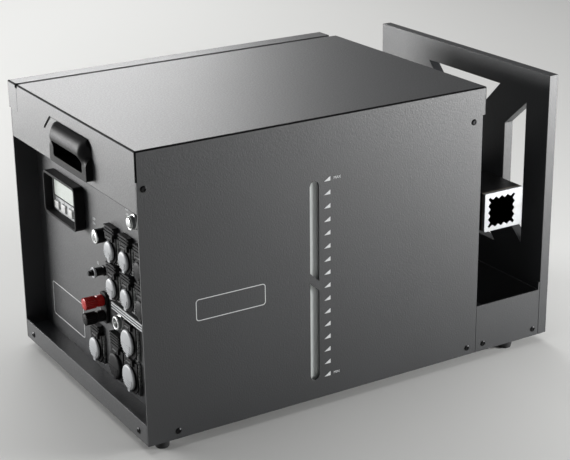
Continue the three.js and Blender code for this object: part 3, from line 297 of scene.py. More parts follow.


# The panel's top edge takes the painted shade line of the folds.
bent_copy("near_side_panel", "machine", side_top_edge, 0.9, 2, 0.3,
          black_coat, fold_shade_coat)
rounded_copy("far_side_panel", "machine", 0.4, black_coat)


# Prints. Thin white screen-printed ink on the powder coat: the fuel level marks, their
# two end words and the plain outlines. A matt, slightly uneven film about 0.1 mm thick.
screen_ink = grained_finish("white_screen_ink", "#C9CBCC", "#DADCDC", 0.8, 0.6, 0.02)
ink_height = 0.12
ink_sunk = 0.03


def made_plain(piece, name):
    """The evaluated result of a piece's tree as a plain mesh, in place of the piece."""
    bpy.context.view_layer.update()
    settled = piece.evaluated_get(bpy.context.evaluated_depsgraph_get())
    mesh = bpy.data.meshes.new_from_object(settled)
    mesh.name = name
    bpy.data.objects.remove(piece)
    return new_object(name, mesh)


def add_plate(shape, outline, start, end, place):
    """A plate with this outline between two depths; place gives machine millimetres."""
    low = [shape.verts.new(place(u, v, start)) for u, v in outline]
    high = [shape.verts.new(place(u, v, end)) for u, v in outline]
    shape.faces.new(low)
    shape.faces.new(high[::-1])
    for i, corner in enumerate(low):
        after = (i + 1) % len(low)
        shape.faces.new((low[after], corner, high[i], high[after]))


def facing_side(u, v, w):
    """Across X and up Z, as deep as w along Y."""
    return (u, w, v)


def facing_end(u, v, w):
    """Across Y and up Z, as deep as w along X."""
    return (w, u, v)


def made_piece(name, shape, finish, body, stands_for=(), smooth=35):
    """A piece whose shape is in machine millimetres, closed, with its faces outwards."""
    bmesh.ops.recalc_face_normals(shape, faces=shape.faces)
    shape.transform(to_frame)
    return finish_piece(name, shape, finish, body, stands_for, smooth)


def rounded_outline(left, right, low, high, radius, steps=5):
    """The outline of a rectangle with round corners."""
    points = []
    for cx, cy, start in (
        (right - radius, high - radius, 0), (left + radius, high - radius, 90),
        (left + radius, low + radius, 180), (right - radius, low + radius, 270),
    ):
        for i in range(steps + 1):
            angle = math.radians(start + 90 * i / steps)
            points.append((cx + radius * math.cos(angle), cy + radius * math.sin(angle)))
    return points


def rounded_ring(edges, outer_in, outer_round, inner_in, inner_round, start, end, place=facing_end):
    """A frame whose two outlines, with round corners, stand in from the same rectangle."""
    left, right, low, high = edges
    outer, inner = [rounded_outline(left + inset, right - inset, low + inset, high - inset, radius)
                    for inset, radius in ((outer_in, outer_round), (inner_in, inner_round))]
    shape = bmesh.new()
    rings = [[shape.verts.new(place(u, v, w)) for u, v in outline]
             for outline, w in ((outer, start), (inner, start), (inner, end), (outer, end))]
    for ring, following in zip(rings, rings[1:] + rings[:1]):
        for i in range(len(outer)):
            after = (i + 1) % len(outer)
            shape.faces.new((ring[i], ring[after], following[after], following[i]))
    return shape


def printed_frame(name, edges, ink_from, ink_to, place):
    """A printed outline with round corners."""
    corner, line = 4, 0.9
    shape = rounded_ring(edges, 0, corner, line, corner - line, ink_from, ink_to, place)
    made_piece(name, shape, screen_ink, "machine")


def printed_words(name, words, turned, finish=screen_ink):
    """Printed words, each (text, capital height, place of its left foot)."""
    shape = bmesh.new()
    capital_share = 0.7
    for text, height, foot in words:
        letters = bpy.data.curves.new(name, "FONT")
        letters.body = text
        letters.size = height / capital_share
        letters.extrude = (ink_height + ink_sunk) / 2
        letters.resolution_u = 2
        plain = made_plain(new_object(name, letters), name)
        plain.data.transform(Matrix.Translation(foot) @ turned)
        shape.from_mesh(plain.data)
        bpy.data.objects.remove(plain)
    bmesh.ops.remove_doubles(shape, verts=shape.verts, dist=0.001)
    made_piece(name, shape, finish, "machine")


# Each repeated part has a tree of its own, with named inputs and an end that all share.
def start_tree(name, given):
    """A geometry tree, the identifiers of its inputs, and their sockets inside it."""
    tree = bpy.data.node_groups.new(name, "GeometryNodeTree")
    identifiers = {}
    for label, kind, value in given:
        socket = tree.interface.new_socket(name=label, in_out="INPUT", socket_type="NodeSocket" + kind)
        if value is not None:
            socket.default_value = value
        identifiers[label] = socket.identifier
    tree.interface.new_socket(name="Result", in_out="OUTPUT", socket_type="NodeSocketGeometry")
    return tree, identifiers, add_node(tree, "NodeGroupInput").outputs


def end_tree(tree, finish, placing):
    """Instances on points, made real and given their material at the end of the tree."""
    placed = add_node(tree, "GeometryNodeInstanceOnPoints", inputs=placing)
    real = add_node(tree, "GeometryNodeRealizeInstances", inputs={"Geometry": placed.outputs["Instances"]})
    finished = add_node(tree, "GeometryNodeSetMaterial", inputs={
        "Geometry": real.outputs["Geometry"], "Material": finish})
    add_node(tree, "NodeGroupOutput", inputs={"Result": finished.outputs["Geometry"]})


def run_tree(name, mesh, tree, identifiers, values, body, smooth=None):
    """What a tree makes of a mesh, as a plain piece that rides on a body."""
    piece = new_object(name, mesh)
    maker = piece.modifiers.new(tree.name, "NODES")
    maker.node_group = tree
    for label, value in values.items():
        maker[identifiers[label]] = value
    plain = made_plain(piece, name)
    if smooth:
        shade(plain.data, smooth)
    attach(plain, body)


def mesh_of(name, shape, change):
    """A mesh of the shape, changed by a matrix and with its faces outwards."""
    bmesh.ops.recalc_face_normals(shape, faces=shape.faces)
    shape.transform(change)
    mesh = bpy.data.meshes.new(name)
    shape.to_mesh(mesh)
    shape.free()
    return mesh


row_tree, row_inputs, row_given = start_tree("straight_row", [
    ("Mark", "Geometry", None), ("Count", "Int", 16), ("Step", "Vector", None),
    ("Finish", "Material", None)])
row_points = add_node(row_tree, "GeometryNodeMeshLine", inputs={
    "Count": row_given["Count"], "Offset": row_given["Step"]})
end_tree(row_tree, row_given["Finish"], {
    "Points": row_points.outputs["Mesh"], "Instance": row_given["Mark"]})


def straight_row(name, shape, count, step, finish):
    """A shape in machine millimetres, repeated in a straight row by the tree."""
    run_tree(name, mesh_of(name, shape, to_frame), row_tree, row_inputs, {
        "Count": count, "Step": Vector(step) * millimetre, "Finish": finish}, "machine", 35)


mark_left, mark_right, mark_low, mark_tall = 243.3, 252.0, 26.5, 5.5
mark_count, mark_pitch = 16, 16.9
level_mark = bmesh.new()
add_plate(level_mark, [(mark_left, mark_low), (mark_right, mark_low), (mark_right, mark_low + mark_tall)],
          -ink_height, ink_sunk, facing_side)
straight_row("level_marks", level_mark, mark_count, (0, 0, mark_pitch), screen_ink)

side_reading = Matrix(((1, 0, 0, 0), (0, 0, -1, 0), (0, 1, 0, 0), (0, 0, 0, 1)))
words_left, words_height = 256.5, 3.4
ink_middle = (ink_sunk - ink_height) / 2
mark_top = mark_low + mark_pitch * (mark_count - 1)
printed_words("level_words", [
    ("MAX", words_height, (words_left, ink_middle, mark_top + 1)),
    ("MIN", words_height, (words_left, ink_middle, mark_low + 1)),
], side_reading)
printed_frame("side_outline", (68, 161, 142.5, 169.5), -ink_height, ink_sunk, facing_side)


# Screws. Black button-head machine screws with a hexagon socket, M5 along the side
# panels and the rails. One tree makes every head from a point and its facing.
screw_tree, screw_inputs, given = start_tree("screw_heads", [
    ("Points", "Geometry", None), ("Head Radius", "Float", 0.004), ("Head Height", "Float", 0.0022),
    ("Socket Radius", "Float", 0.0018), ("Finish", "Material", None)])
skirt_radius, crown_radius, half_height = [
    add_node(screw_tree, "ShaderNodeMath", {"operation": "MULTIPLY"}, {
        0: given[label], 1: share}).outputs[0]
    for label, share in (("Head Radius", 0.93), ("Head Radius", 0.62), ("Head Height", 0.5))]
half_up, full_up = [
    add_node(screw_tree, "ShaderNodeCombineXYZ", inputs={"Z": height}).outputs[0]
    for height in (half_height, given["Head Height"])]
skirt, crown = [
    add_node(screw_tree, "GeometryNodeMeshCone", inputs={
        "Vertices": 20, "Radius Top": top, "Radius Bottom": bottom, "Depth": half_height})
    for top, bottom in ((skirt_radius, given["Head Radius"]), (crown_radius, skirt_radius))]
drive = add_node(screw_tree, "GeometryNodeMeshCylinder", inputs={
    "Vertices": 6, "Radius": given["Socket Radius"], "Depth": given["Head Height"]})
raised, drive_raised = [
    add_node(screw_tree, "GeometryNodeTransform", inputs={
        "Geometry": part.outputs["Mesh"], "Translation": up})
    for part, up in ((crown, half_up), (drive, full_up))]
head = add_node(screw_tree, "GeometryNodeMeshBoolean", {"operation": "UNION"})
screw_tree.links.new(skirt.outputs["Mesh"], head.inputs["Mesh 2"])
screw_tree.links.new(raised.outputs["Geometry"], head.inputs["Mesh 2"])
socketed = add_node(screw_tree, "GeometryNodeMeshBoolean", {"operation": "DIFFERENCE"}, {
    "Mesh 1": head.outputs["Mesh"]})
screw_tree.links.new(drive_raised.outputs["Geometry"], socketed.inputs["Mesh 2"])
facing = add_node(screw_tree, "GeometryNodeInputNamedAttribute", {"data_type": "FLOAT_VECTOR"}, {
    "Name": "facing"})
turned_to = add_node(screw_tree, "FunctionNodeAlignEulerToVector", {"axis": "Z"}, {
    "Vector": facing.outputs["Attribute"]})
end_tree(screw_tree, given["Finish"], {
    "Points": given["Points"], "Instance": socketed.outputs["Mesh"],
    "Rotation": turned_to.outputs["Rotation"]})

# Black oxide on steel: a thin dark oil-wet skin that catches small sharp highlights.
black_oxide = grained_finish("black_oxide_steel", "#1C1C1D", "#2B2B2C", 0.6, 0.32, 0.02, 0.85)
head_share, socket_share = 0.36, 0.5


def screw_row(name, places, radius_mm):
    """Screw heads on places, each (x, y, z, facing)."""
    mesh = bpy.data.meshes.new(name)
    mesh.from_pydata([to_frame @ Vector(p[:3]) for p in places], [], [])
    facings = mesh.attributes.new("facing", "FLOAT_VECTOR", "POINT")
    for i, p in enumerate(places):
        facings.data[i].vector = p[3]
    run_tree(name, mesh, screw_tree, screw_inputs, {
        "Head Radius": radius_mm * millimetre, "Head Height": radius_mm * head_share * millimetre,
        "Socket Radius": radius_mm * socket_share * millimetre, "Finish": black_oxide,
    }, "machine")


near, far, control_side = (0, -1, 0), (0, 1, 0), (-1, 0, 0)
panel_screw_spots = [(8.3, 315), (464.5, 316.4), (39.9, 10), (464.2, 10), (490.6, 10), (574.7, 10)]
body_width, rail_screw_height = 368, 11
panel_screws = [(x, 0, z, near) for x, z in panel_screw_spots]
panel_screws += [(x, body_width, z, far) for x, z in panel_screw_spots]
panel_screws += [(0, y, rail_screw_height, control_side) for y in (24, 344)]
screw_row("panel_screws", panel_screws, 4.0)


# Band and control panel. The fixed band over the recess carries the handle; the panel
# below it stands 30 mm back, with a folded floor, and holds the display and sockets.
band_foot, long_fold = 285.1, 20


def band_edge(x, y, z):
    """Whether an edge is one of the band's long outer edges."""
    level = z[1] - z[0] < hair
    at_rim = z[0] < band_foot or under_lid < z[0] < under_lid + 1
    return x[1] < hair and level and y[1] - y[0] > long_fold and at_rim


# The band's long rims take the painted shade line of the folds.
bent_copy("front_band", "machine", band_edge, 1.1, 3, 0.3, black_coat, fold_shade_coat)
rounded_copy("control_panel", "machine", 0.5, black_coat)
panel_x = 30.0
end_reading = Matrix(((0, 0, -1, 0), (-1, 0, 0, 0), (0, 1, 0, 0), (0, 0, 0, 1)))
printed_frame("panel_outline", (239, 338, 38.5, 86), panel_x - ink_height, panel_x + ink_sunk, facing_end)
panel_ink = panel_x + ink_middle
printed_words("panel_words", [
    ("OFF", 3.2, (panel_ink, 193, 217)),
    ("ON", 3.2, (panel_ink, 193, 211)),
    ("15", 4.0, (panel_ink, 188, 160)),
    ("1", 3.6, (panel_ink, 186, 118.5)),
    ("2", 3.6, (panel_ink, 186, 98)),
    ("ON", 3.0, (panel_ink, 96, 258)),
    ("OFF", 3.0, (panel_ink, 96, 252)),
], end_reading)


# Carry handle. One black moulding of glass-filled nylon, screwed to the band: a flat
# frame, a fat smooth grip across its top and a deep pocket for the fingers below it.
# Moulded plastics have a fine spark-eroded grain, which keeps a soft highlight.
black_nylon = grained_finish(
    "black_moulded_nylon", "#0C0C0D", "#121213", 0.9, 0.5, Specular_IOR_Level=0.15)


def combine(base, tool, how):
    """The join, cut or overlap of two closed shapes, as a new shape."""
    holders = []
    for shape in (base, tool):
        mesh = bpy.data.meshes.new("working_shape")
        bmesh.ops.recalc_face_normals(shape, faces=shape.faces)
        shape.to_mesh(mesh)
        shape.free()
        holders.append(new_object("working_shape", mesh))
    step = holders[0].modifiers.new("combine", "BOOLEAN")
    step.operation = how
    step.solver = "EXACT"
    step.use_self = True
    step.object = holders[1]
    bpy.context.view_layer.update()
    settled = holders[0].evaluated_get(bpy.context.evaluated_depsgraph_get())
    result = bmesh.new()
    result.from_mesh(settled.data)
    for holder in holders:
        mesh = holder.data
        bpy.data.objects.remove(holder)
        bpy.data.meshes.remove(mesh)
    return result


def new_plate(outline, start, end, place):
    """A new shape that holds one plate."""
    shape = bmesh.new()
    add_plate(shape, outline, start, end, place)
    return shape


handle_middle, handle_half = 169.0, 53.0
handle_near, handle_far = handle_middle - handle_half, handle_middle + handle_half
handle_low, handle_high = 292.6, 341.9
frame_face, hood_face, handle_back = -8.65, -12.95, -0.35
frame_top_bend, hood_top_bend = 8.0, 17.0
hood_lip, hood_foot = 325.0, 312.0
hood_end_slope, hood_end_curve = 12.5, 1.5
handle_thinnest = -0.6


def rolled_over(face, bend, up):
    """How far forward a face stands at a height, where its top edge is rolled over."""
    into_bend = max(up - (handle_high - bend), 0) / bend
    return handle_back + (face - handle_back) * math.sqrt(max(1 - into_bend ** 2, 0))


def handle_face(across, up):
    """The handle's front: a flat frame, and a hood that swells out over the mouth."""
    flat = rolled_over(frame_face, frame_top_bend, up)
    from_end = min((handle_half - abs(across - handle_middle)) / hood_end_slope, 1)
    swell = 1 - (1 - from_end) ** hood_end_curve
    hood = handle_back + (rolled_over(hood_face, hood_top_bend, up) - handle_back) * swell
    below_lip = min(max((hood_lip - up) / (hood_lip - hood_foot), 0), 1)
    return hood + (flat - hood) * below_lip ** 2 * (3 - 2 * below_lip)


handle_columns, handle_rows = 53, 34
handle_shape = bmesh.new()
face_points, back_points = [], []
for row in range(handle_rows + 1):
    up = handle_low + (handle_high - handle_low) * row / handle_rows
    places = [handle_near + 2 * handle_half * c / handle_columns for c in range(handle_columns + 1)]
    face_points.append([
        handle_shape.verts.new((min(handle_face(y, up), handle_thinnest), y, up)) for y in places])
    back_points.append([handle_shape.verts.new((handle_back, y, up)) for y in places])
for front_grid in (face_points, back_points):
    for row in range(handle_rows):
        for c in range(handle_columns):
            lower, upper = front_grid[row], front_grid[row + 1]
            handle_shape.faces.new((lower[c], lower[c + 1], upper[c + 1], upper[c]))
edge_pairs = [(face_points[0], back_points[0]), (face_points[-1], back_points[-1])]
edge_pairs += [([row[c] for row in face_points], [row[c] for row in back_points]) for c in (0, -1)]
for front_edge, back_edge in edge_pairs:
    for i in range(len(front_edge) - 1):
        handle_shape.faces.new((front_edge[i], front_edge[i + 1], back_edge[i + 1], back_edge[i]))
cut, top_cut_across, top_cut_down, overrun, in_front = 2, 8.5, 11, 1, -20
frame_outline = [
    (handle_near + cut, handle_low), (handle_far - cut, handle_low), (handle_far, handle_low + cut),
    (handle_far, handle_high - top_cut_down), (handle_far - top_cut_across, handle_high + overrun),
    (handle_near + top_cut_across, handle_high + overrun), (handle_near, handle_high - top_cut_down),
    (handle_near, handle_low + cut),
]
mouth_near, mouth_far, mouth_low, mouth_high = 127.2, 210.8, 301.2, 322.0
mouth_outline = [(mouth_near, mouth_low + cut), (mouth_near + cut, mouth_low), (mouth_far - cut, mouth_low),
                 (mouth_far, mouth_low + cut)]
mouth_round, corner_steps = 9.0, 6
for side, start in ((mouth_far - mouth_round, 0), (mouth_near + mouth_round, 90)):
    for i in range(corner_steps + 1):
        angle = math.radians(start + 90 * i / corner_steps)
        rise = mouth_high - mouth_round * (1 - math.sin(angle))
        mouth_outline.append((side + mouth_round * math.cos(angle), rise))
under_hood = [(-5, 316), (-11.4, 316), (-11.6, 323.6), (-10.6, 326.4), (-8.4, 328.2), (-5, 328.8)]
# outline, from, to, which way it faces, what it does to the moulding
for outline, start, end, place, how in (
        (frame_outline, in_front, 0, facing_end, "INTERSECT"),
        (mouth_outline, in_front, 5, facing_end, "DIFFERENCE"),
        (rounded_outline(123.2, 214.8, 297.2, 329.8, 6), -1.5, 25.8, facing_end, "UNION"),
        (rounded_outline(125.4, 212.6, 299.4, 327.6, 5), -6.5, 23.8, facing_end, "DIFFERENCE"),
        (under_hood, mouth_near + cut, mouth_far - cut, facing_side, "DIFFERENCE")):
    handle_shape = combine(handle_shape, new_plate(outline, start, end, place), how)
round_edges(made_piece("carry_handle_moulding", handle_shape, black_nylon, "machine",
                       ["carry_handle"], 40), 0.4)


# Display unit. A deep moulded bezel clipped through the panel frames a grey menu face
# with a pale reflective screen behind its window and four soft keys.
# The bezel and most small fittings are moulded in a matt nylon that hardly shines.
matt_nylon = grained_finish(
    "matt_black_nylon", "#0D0D0E", "#131314", 0.9, 0.58, Specular_IOR_Level=0.22)
# A printed grey film, silicone rubber keys and a liquid crystal under glass.
grey_face = grained_finish("grey_menu_face", "#A9ABAC", "#B4B6B7", 0.7, 0.5)
key_rubber = grained_finish("pale_silicone_keys", "#BFC0BE", "#CBCBC9", 0.8, 0.55)
screen_glass = grained_finish("pale_liquid_crystal", "#C3C9C4", "#CFD4CF", 1.2, 0.22, 0.004)
bezel_edges = (215.0, 314.0, 194.0, 251.5)
bezel_front, bezel_back = 16.05, 29.7


rim_height, screen_sunk = 0.35, 0.35
bezel_shape = rounded_ring(bezel_edges, 0, 7, 3.2, 4, bezel_front + 0.3, bezel_back)
round_edges(made_piece("display_bezel_moulding", bezel_shape, matt_nylon, "machine",
                       ["display_bezel"]), 0.8, 3)
rim_shape = rounded_ring(bezel_edges, 0.9, 6.1, 2.8, 4.2, bezel_front, bezel_front + rim_height)
made_piece("display_bezel_rim", rim_shape, black_nylon, "machine")
rounded_copy("display_board", "machine", 0.3, grey_face)
screen_edges, screen_front, screen_back, screen_border = (228.0, 301.0, 219.5, 243.5), 25.6, 26.4, 1.6
window_edge = rounded_ring(screen_edges, -screen_border, 2, 0, 1, screen_front, screen_back)
made_piece("screen_edge", window_edge, black_nylon, "machine")
window = new_plate(rounded_outline(*screen_edges, 1), screen_front + screen_sunk, screen_back, facing_end)
made_piece("screen_window", window, screen_glass, "machine")
for number in range(1, 5):
    rounded_copy(f"menu_key_{number}", f"menu_key_{number}", 1.6, key_rubber, 4)
black_print = grained_finish("black_screen_ink", "#1E1F20", "#2A2B2C", 0.8, 0.6, 0.02)
key_count, key_pitch, number_first, number_foot, number_height = 4, 21.0, 234.2, 213.0, 3.4
board_face = 27.7 + ink_middle
printed_words("key_numbers", [
    (str(key_count - i), number_height, (board_face, number_first + key_pitch * i, number_foot))
    for i in range(key_count)
], end_reading, black_print)


# Power button. A turned brass bushing with a satin nickel plate, held by a nut behind
# the panel. A domed button of the same finish slides in it.
def chrome_finish(name, hex_dark, hex_light, roughness):
    """A plated metal: near mirror, with faint wipe marks in its gloss."""
    return grained_finish(name, hex_dark, hex_light, 3.0, roughness, 0.003, 1.0)


def add_turned(shape, profile, centre, axis, sides=32, closed=False):
    """Adds a turned shape. Its profile of (along, radius) is an outline, or a closed section."""
    rings = []
    for along, radius in profile:
        ring = []
        for i in range(sides if radius else 1):
            angle = 2 * math.pi * i / sides
            u, v = centre[0] + radius * math.cos(angle), centre[1] + radius * math.sin(angle)
            ring.append(shape.verts.new({"X": (along, u, v), "Y": (u, along, v), "Z": (u, v, along)}[axis]))
        rings.append(ring)
    pairs = list(zip(rings, rings[1:])) + ([(rings[-1], rings[0])] if closed else [])
    for ring, following in pairs:
        if len(ring) == 1 and len(following) == 1:
            continue
        for i in range(sides):
            after = (i + 1) % sides
            corners = [ring[i % len(ring)], ring[after % len(ring)],
                       following[after % len(following)], following[i % len(following)]]
            shape.faces.new(list(dict.fromkeys(corners)))
    return shape


def turned_piece(name, profile, centre, axis, finish, body, stands_for=(), sides=32, closed=False):
    """A piece of one turned shape."""
    shape = add_turned(bmesh.new(), profile, centre, axis, sides, closed)
    made_piece(name, shape, finish, body, stands_for, 30)


satin_nickel = chrome_finish("satin_nickel_plate", "#B9BBBB", "#CBCCCB", 0.42)
button_place = (71.0, 251.0)
turned_piece("power_button_bushing", [
    (41.4, 7.1), (22.9, 7.1), (22.2, 7.4), (22.0, 7.9), (22.4, 8.4), (27.0, 8.4), (27.3, 9.2),
    (27.7, 9.6), (29.7, 9.6), (29.7, 8.4), (49.9, 8.4), (49.9, 6.9), (41.4, 6.9),
], button_place, "X", satin_nickel, "machine", ["power_button_ring"], closed=True)
turned_piece("power_button_dome", [
    (20.0, 0), (20.05, 2.4), (20.3, 4.6), (20.8, 5.9), (21.6, 6.5), (22.4, 6.6), (37.9, 6.6), (37.9, 0),
], button_place, "X", satin_nickel, "power_button", ["power_button"])


# Key switch. A black barrel with a bright nickel face, screwed through the panel. The
# slotted cylinder in its middle turns with the key; a black plate sunk in its slot is painted shade for the
# slot's dark inside.
key_place = (160.0, 207.0)
turned_piece("key_switch_barrel", [
    (40.4, 6.4), (17.6, 6.4), (17.6, 8.8), (18.2, 9.0), (29.7, 9.0), (29.7, 8.0), (51.9, 8.0), (51.9, 6.2),
], key_place, "X", black_nylon, "machine", ["key_switch_body"], closed=True)
turned_piece("key_switch_face", [
    (17.7, 6.5), (16.4, 6.5), (16.05, 6.9), (16.05, 8.1), (16.4, 8.6), (17.0, 8.8), (17.7, 8.8),
], key_place, "X", satin_nickel, "machine", closed=True)
cylinder = add_turned(bmesh.new(), [
    (16.0, 0), (16.0, 5.2), (16.4, 5.9), (16.9, 6.0), (39.9, 6.0), (39.9, 0)], key_place, "X")
key_slot = new_plate(rounded_outline(158.6, 161.4, 202.4, 211.6, 1), 10, 19, facing_end)
made_piece("key_switch_cylinder", combine(cylinder, key_slot, "DIFFERENCE"), satin_nickel,
           "key_cylinder", ["key_cylinder"])
# A black plate in the slot: painted shade for the slot's dark inside.
slot_shade_plate = new_plate(rounded_outline(158.7, 161.3, 202.5, 211.5, 0.9), 17.2, 18.9, facing_end)
made_piece("key_slot_painted_shade", slot_shade_plate, matt_nylon, "key_cylinder")


# Circuit breaker. A black threaded barrel with a grey collar, held by a hexagonal nut,
# and a black reset button with a ringed tip that pops out when the breaker trips.
grey_nylon = grained_finish("grey_moulded_nylon", "#A3A5A7", "#B0B2B4", 0.8, 0.42)
breaker_place = (166.0, 158.5)
thread_start, thread_step, thread_root, thread_crest = 17.0, 0.5, 5.1, 5.5
thread_turns = [(thread_start + thread_step * i, thread_crest if i % 2 else thread_root) for i in range(25)]
turned_piece("breaker_barrel", [
    (42.9, 3.95), (15.0, 3.95), (15.0, 5.0), *thread_turns, (53.9, 5.5), (53.9, 3.8),
], breaker_place, "X", matt_nylon, "machine", ["breaker_body"], closed=True, sides=24)
turned_piece("breaker_collar", [
    (16.8, 5.2), (14.4, 5.2), (14.4, 4.3), (14.1, 4.5), (14.05, 6.4), (14.4, 6.9), (16.2, 7.0), (16.8, 6.6),
], breaker_place, "X", grey_nylon, "machine", closed=True, sides=24)
turned_piece("breaker_nut", [
    (29.7, 5.6), (27.2, 5.6), (26.9, 6.2), (27.2, 6.9), (29.7, 6.9),
], breaker_place, "X", black_oxide, "machine", closed=True, sides=6)
turned_piece("breaker_reset", [
    (8.0, 0), (8.05, 1.6), (8.3, 2.7), (8.9, 3.2), (9.6, 3.2), (9.9, 2.9), (10.2, 3.2), (10.8, 3.2),
    (11.1, 2.9), (11.4, 3.5), (12.0, 3.6), (29.9, 3.6), (29.9, 0),
], breaker_place, "X", black_nylon, "breaker_button", ["breaker_button"])


# Binding posts. Two insulated screw caps, red and black, on brass studs through a
# black plate. Each cap is moulded with a ring of grip ribs, set round by one tree.
round_tree, round_inputs, round_given = start_tree("ring_of_ribs", [
    ("Rib", "Geometry", None), ("Count", "Int", 24), ("Centre", "Vector", None), ("Turn", "Vector", None),
    ("Finish", "Material", None)])
round_points = add_node(round_tree, "GeometryNodeMeshLine", inputs={
    "Count": round_given["Count"], "Start Location": round_given["Centre"], "Offset": (0, 0, 0)})
rib_number = add_node(round_tree, "GeometryNodeInputIndex").outputs["Index"]
rib_turn = add_node(round_tree, "ShaderNodeVectorMath", {"operation": "SCALE"}, {
    0: round_given["Turn"], "Scale": rib_number})
rib_rotation = add_node(round_tree, "FunctionNodeEulerToRotation", inputs={
    "Euler": rib_turn.outputs["Vector"]})
end_tree(round_tree, round_given["Finish"], {
    "Points": round_points.outputs["Mesh"], "Instance": round_given["Rib"],
    "Rotation": rib_rotation.outputs["Rotation"]})


def ring_of_ribs(name, shape, count, centre, axis, finish, body):
    """A rib, in millimetres from its centre, set round an axis by the tree."""
    turn_by = Vector([2 * math.pi / count * (axis == a) for a in "XYZ"])
    run_tree(name, mesh_of(name, shape, Matrix.Scale(millimetre, 4)), round_tree, round_inputs, {
        "Count": count, "Centre": to_frame @ Vector(centre), "Turn": turn_by, "Finish": finish}, body)


red_nylon = grained_finish("red_moulded_nylon", "#A01210", "#B81815", 1.0, 0.3)
machined_brass = chrome_finish("machined_brass", "#A8853F", "#BC9A55", 0.3)
post_y, post_front, post_back, red_height, black_height = 166.0, -0.4, 25.1, 120.0, 99.5
for colour, post_z, post_finish, post_slot in (
        ("red", red_height, red_nylon, "red_moulding"),
        ("black", black_height, matt_nylon, "black_moulding")):
    cap_body = f"{colour}_post_cap"
    turned_piece(f"{colour}_post_knob", [
        (post_front + 1.2, 0), (post_front, 1.0), (post_front, 5.6), (post_front + 0.5, 6.6),
        (post_front + 1.6, 7.2), (14.6, 7.2), (15.2, 6.2), (16.4, 6.2), (17.0, 7.2),
        (post_back - 0.8, 7.4), (post_back, 6.8),
        (post_back, 2.85), (7.8, 2.85), (7.8, 0),
    ], (post_y, post_z), "X", post_finish, cap_body, [cap_body], 36)
    rib = bmesh.new()
    rib_end = 12.6
    add_plate(rib, [(7.0, -0.55), (7.85, -0.3), (7.85, 0.3), (7.0, 0.55)], -rib_end, 1.6, facing_end)
    ring_of_ribs(f"{colour}_post_ribs", rib, 22, (rib_end, post_y, post_z), "X", post_finish,
                 cap_body)
post_plate = new_plate(rounded_outline(157, 175, 89.5, 130, 5), 25.7, 29.7, facing_end)
round_edges(
    made_piece("post_plate", post_plate, matt_nylon, "machine", ["post_base"]), 0.6)
studs = bmesh.new()
for post_z in (red_height, black_height):
    add_turned(studs, [(8.0, 0), (8.0, 2.1), (8.5, 2.5), (45.9, 2.5), (45.9, 0)], (post_y, post_z), "X", 16)
made_piece("post_studs", studs, machined_brass, "machine")


# Ring socket. A round brass jack with a rolled lip and a satin nickel plate, screwed
# into the panel, with a black insulator deep inside it.
ring_place = (121.0, 106.5)
turned_piece("ring_socket_shell", [
    (39.9, 0), (39.9, 5.9), (21.4, 5.9), (20.3, 6.3), (20.0, 7.2), (20.3, 8.3), (21.2, 9.0), (22.4, 9.1),
    (24.0, 8.4), (25.6, 8.4), (26.2, 9.5), (29.7, 9.5), (29.7, 7.4), (47.9, 7.4), (47.9, 0),
], ring_place, "X", satin_nickel, "machine", ["ring_socket"])
ring_insert = add_turned(bmesh.new(), [
    (25.0, 0), (25.0, 4.2), (25.6, 4.8), (39.9, 4.8), (39.9, 0)], ring_place, "X", 24)
made_piece("ring_socket_insert", ring_insert, matt_nylon, "machine")


# Covered sockets. Ten round connectors, each on a nickel-plated plate screwed to the
# panel, under a black moulded cover frame whose sprung flap keeps water out. A ribbed
# block above the hinge stops the flap.
plated_steel = chrome_finish("nickel_plated_steel", "#B4B6B6", "#C6C7C6", 0.3)
flange_side, flange_below, flange_above = 2.5, 3.5, 7.0
plate_front, plate_back, cover_front, cover_back = 26.2, 29.7, 24.2, 26.18
hinge_x, hinge_offset, hinge_half = 23.5, 3.8, 5.8
near_corner, far_corner = 8.0, 11.2
lug_front, lug_width, bar_front = 21.5, 4.5, 21.6
pin_radius, pin_past_hinge = 0.9, 4.3
stop_half, stop_front, rib_spacing = 12, 23.2, 3.3
screw_inset, screw_radius = 2.9, 1.9
small, wide, large = 12.0, 14.0, 16.0
# name, middle across, middle up, flap radius, height of the ribbed block
sockets = [
    ("a1", 131, 197, small, 10), ("b1", 91, 197, small, 10), ("c1", 51, 197, small, 10),
    ("a2", 131, 149, small, 10), ("b2", 91, 149, small, 10), ("c2", 51, 149, small, 10),
    ("b3", 92, 92, large, 0), ("d4", 191, 46, wide, 10), ("a4", 131, 46, large, 17),
    ("b4", 92, 46, large, 0),
]
# c1 and c2 are black as painted shade for the shadow on the near column; a4 is black.
black_and_shaded_flaps = ("c1", "c2", "a4")


def add_block(shape, x0, x1, y0, y1, z0, z1):
    """A block between two corners."""
    add_plate(shape, [(y0, z0), (y1, z0), (y1, z1), (y0, z1)], x0, x1, facing_end)
    return shape


def new_rod(half, radius, place, sides):
    """A rod along Y, as long as half on both sides of the middle of the place."""
    x, y, z = place
    profile = [(y - half, 0), (y - half, radius), (y + half, radius), (y + half, 0)]
    return add_turned(bmesh.new(), profile, (x, z), "Y", sides)


def new_rib(near_edge, far_edge, front, back, foot, height, cut=0.3):
    """A level rib whose two front corners are cut."""
    nose, top = front + 0.3, foot + height
    corners = [(front, foot + cut), (nose, foot), (back, foot), (back, top), (nose, top),
               (front, top - cut)]
    return new_plate(corners, near_edge, far_edge, facing_side)


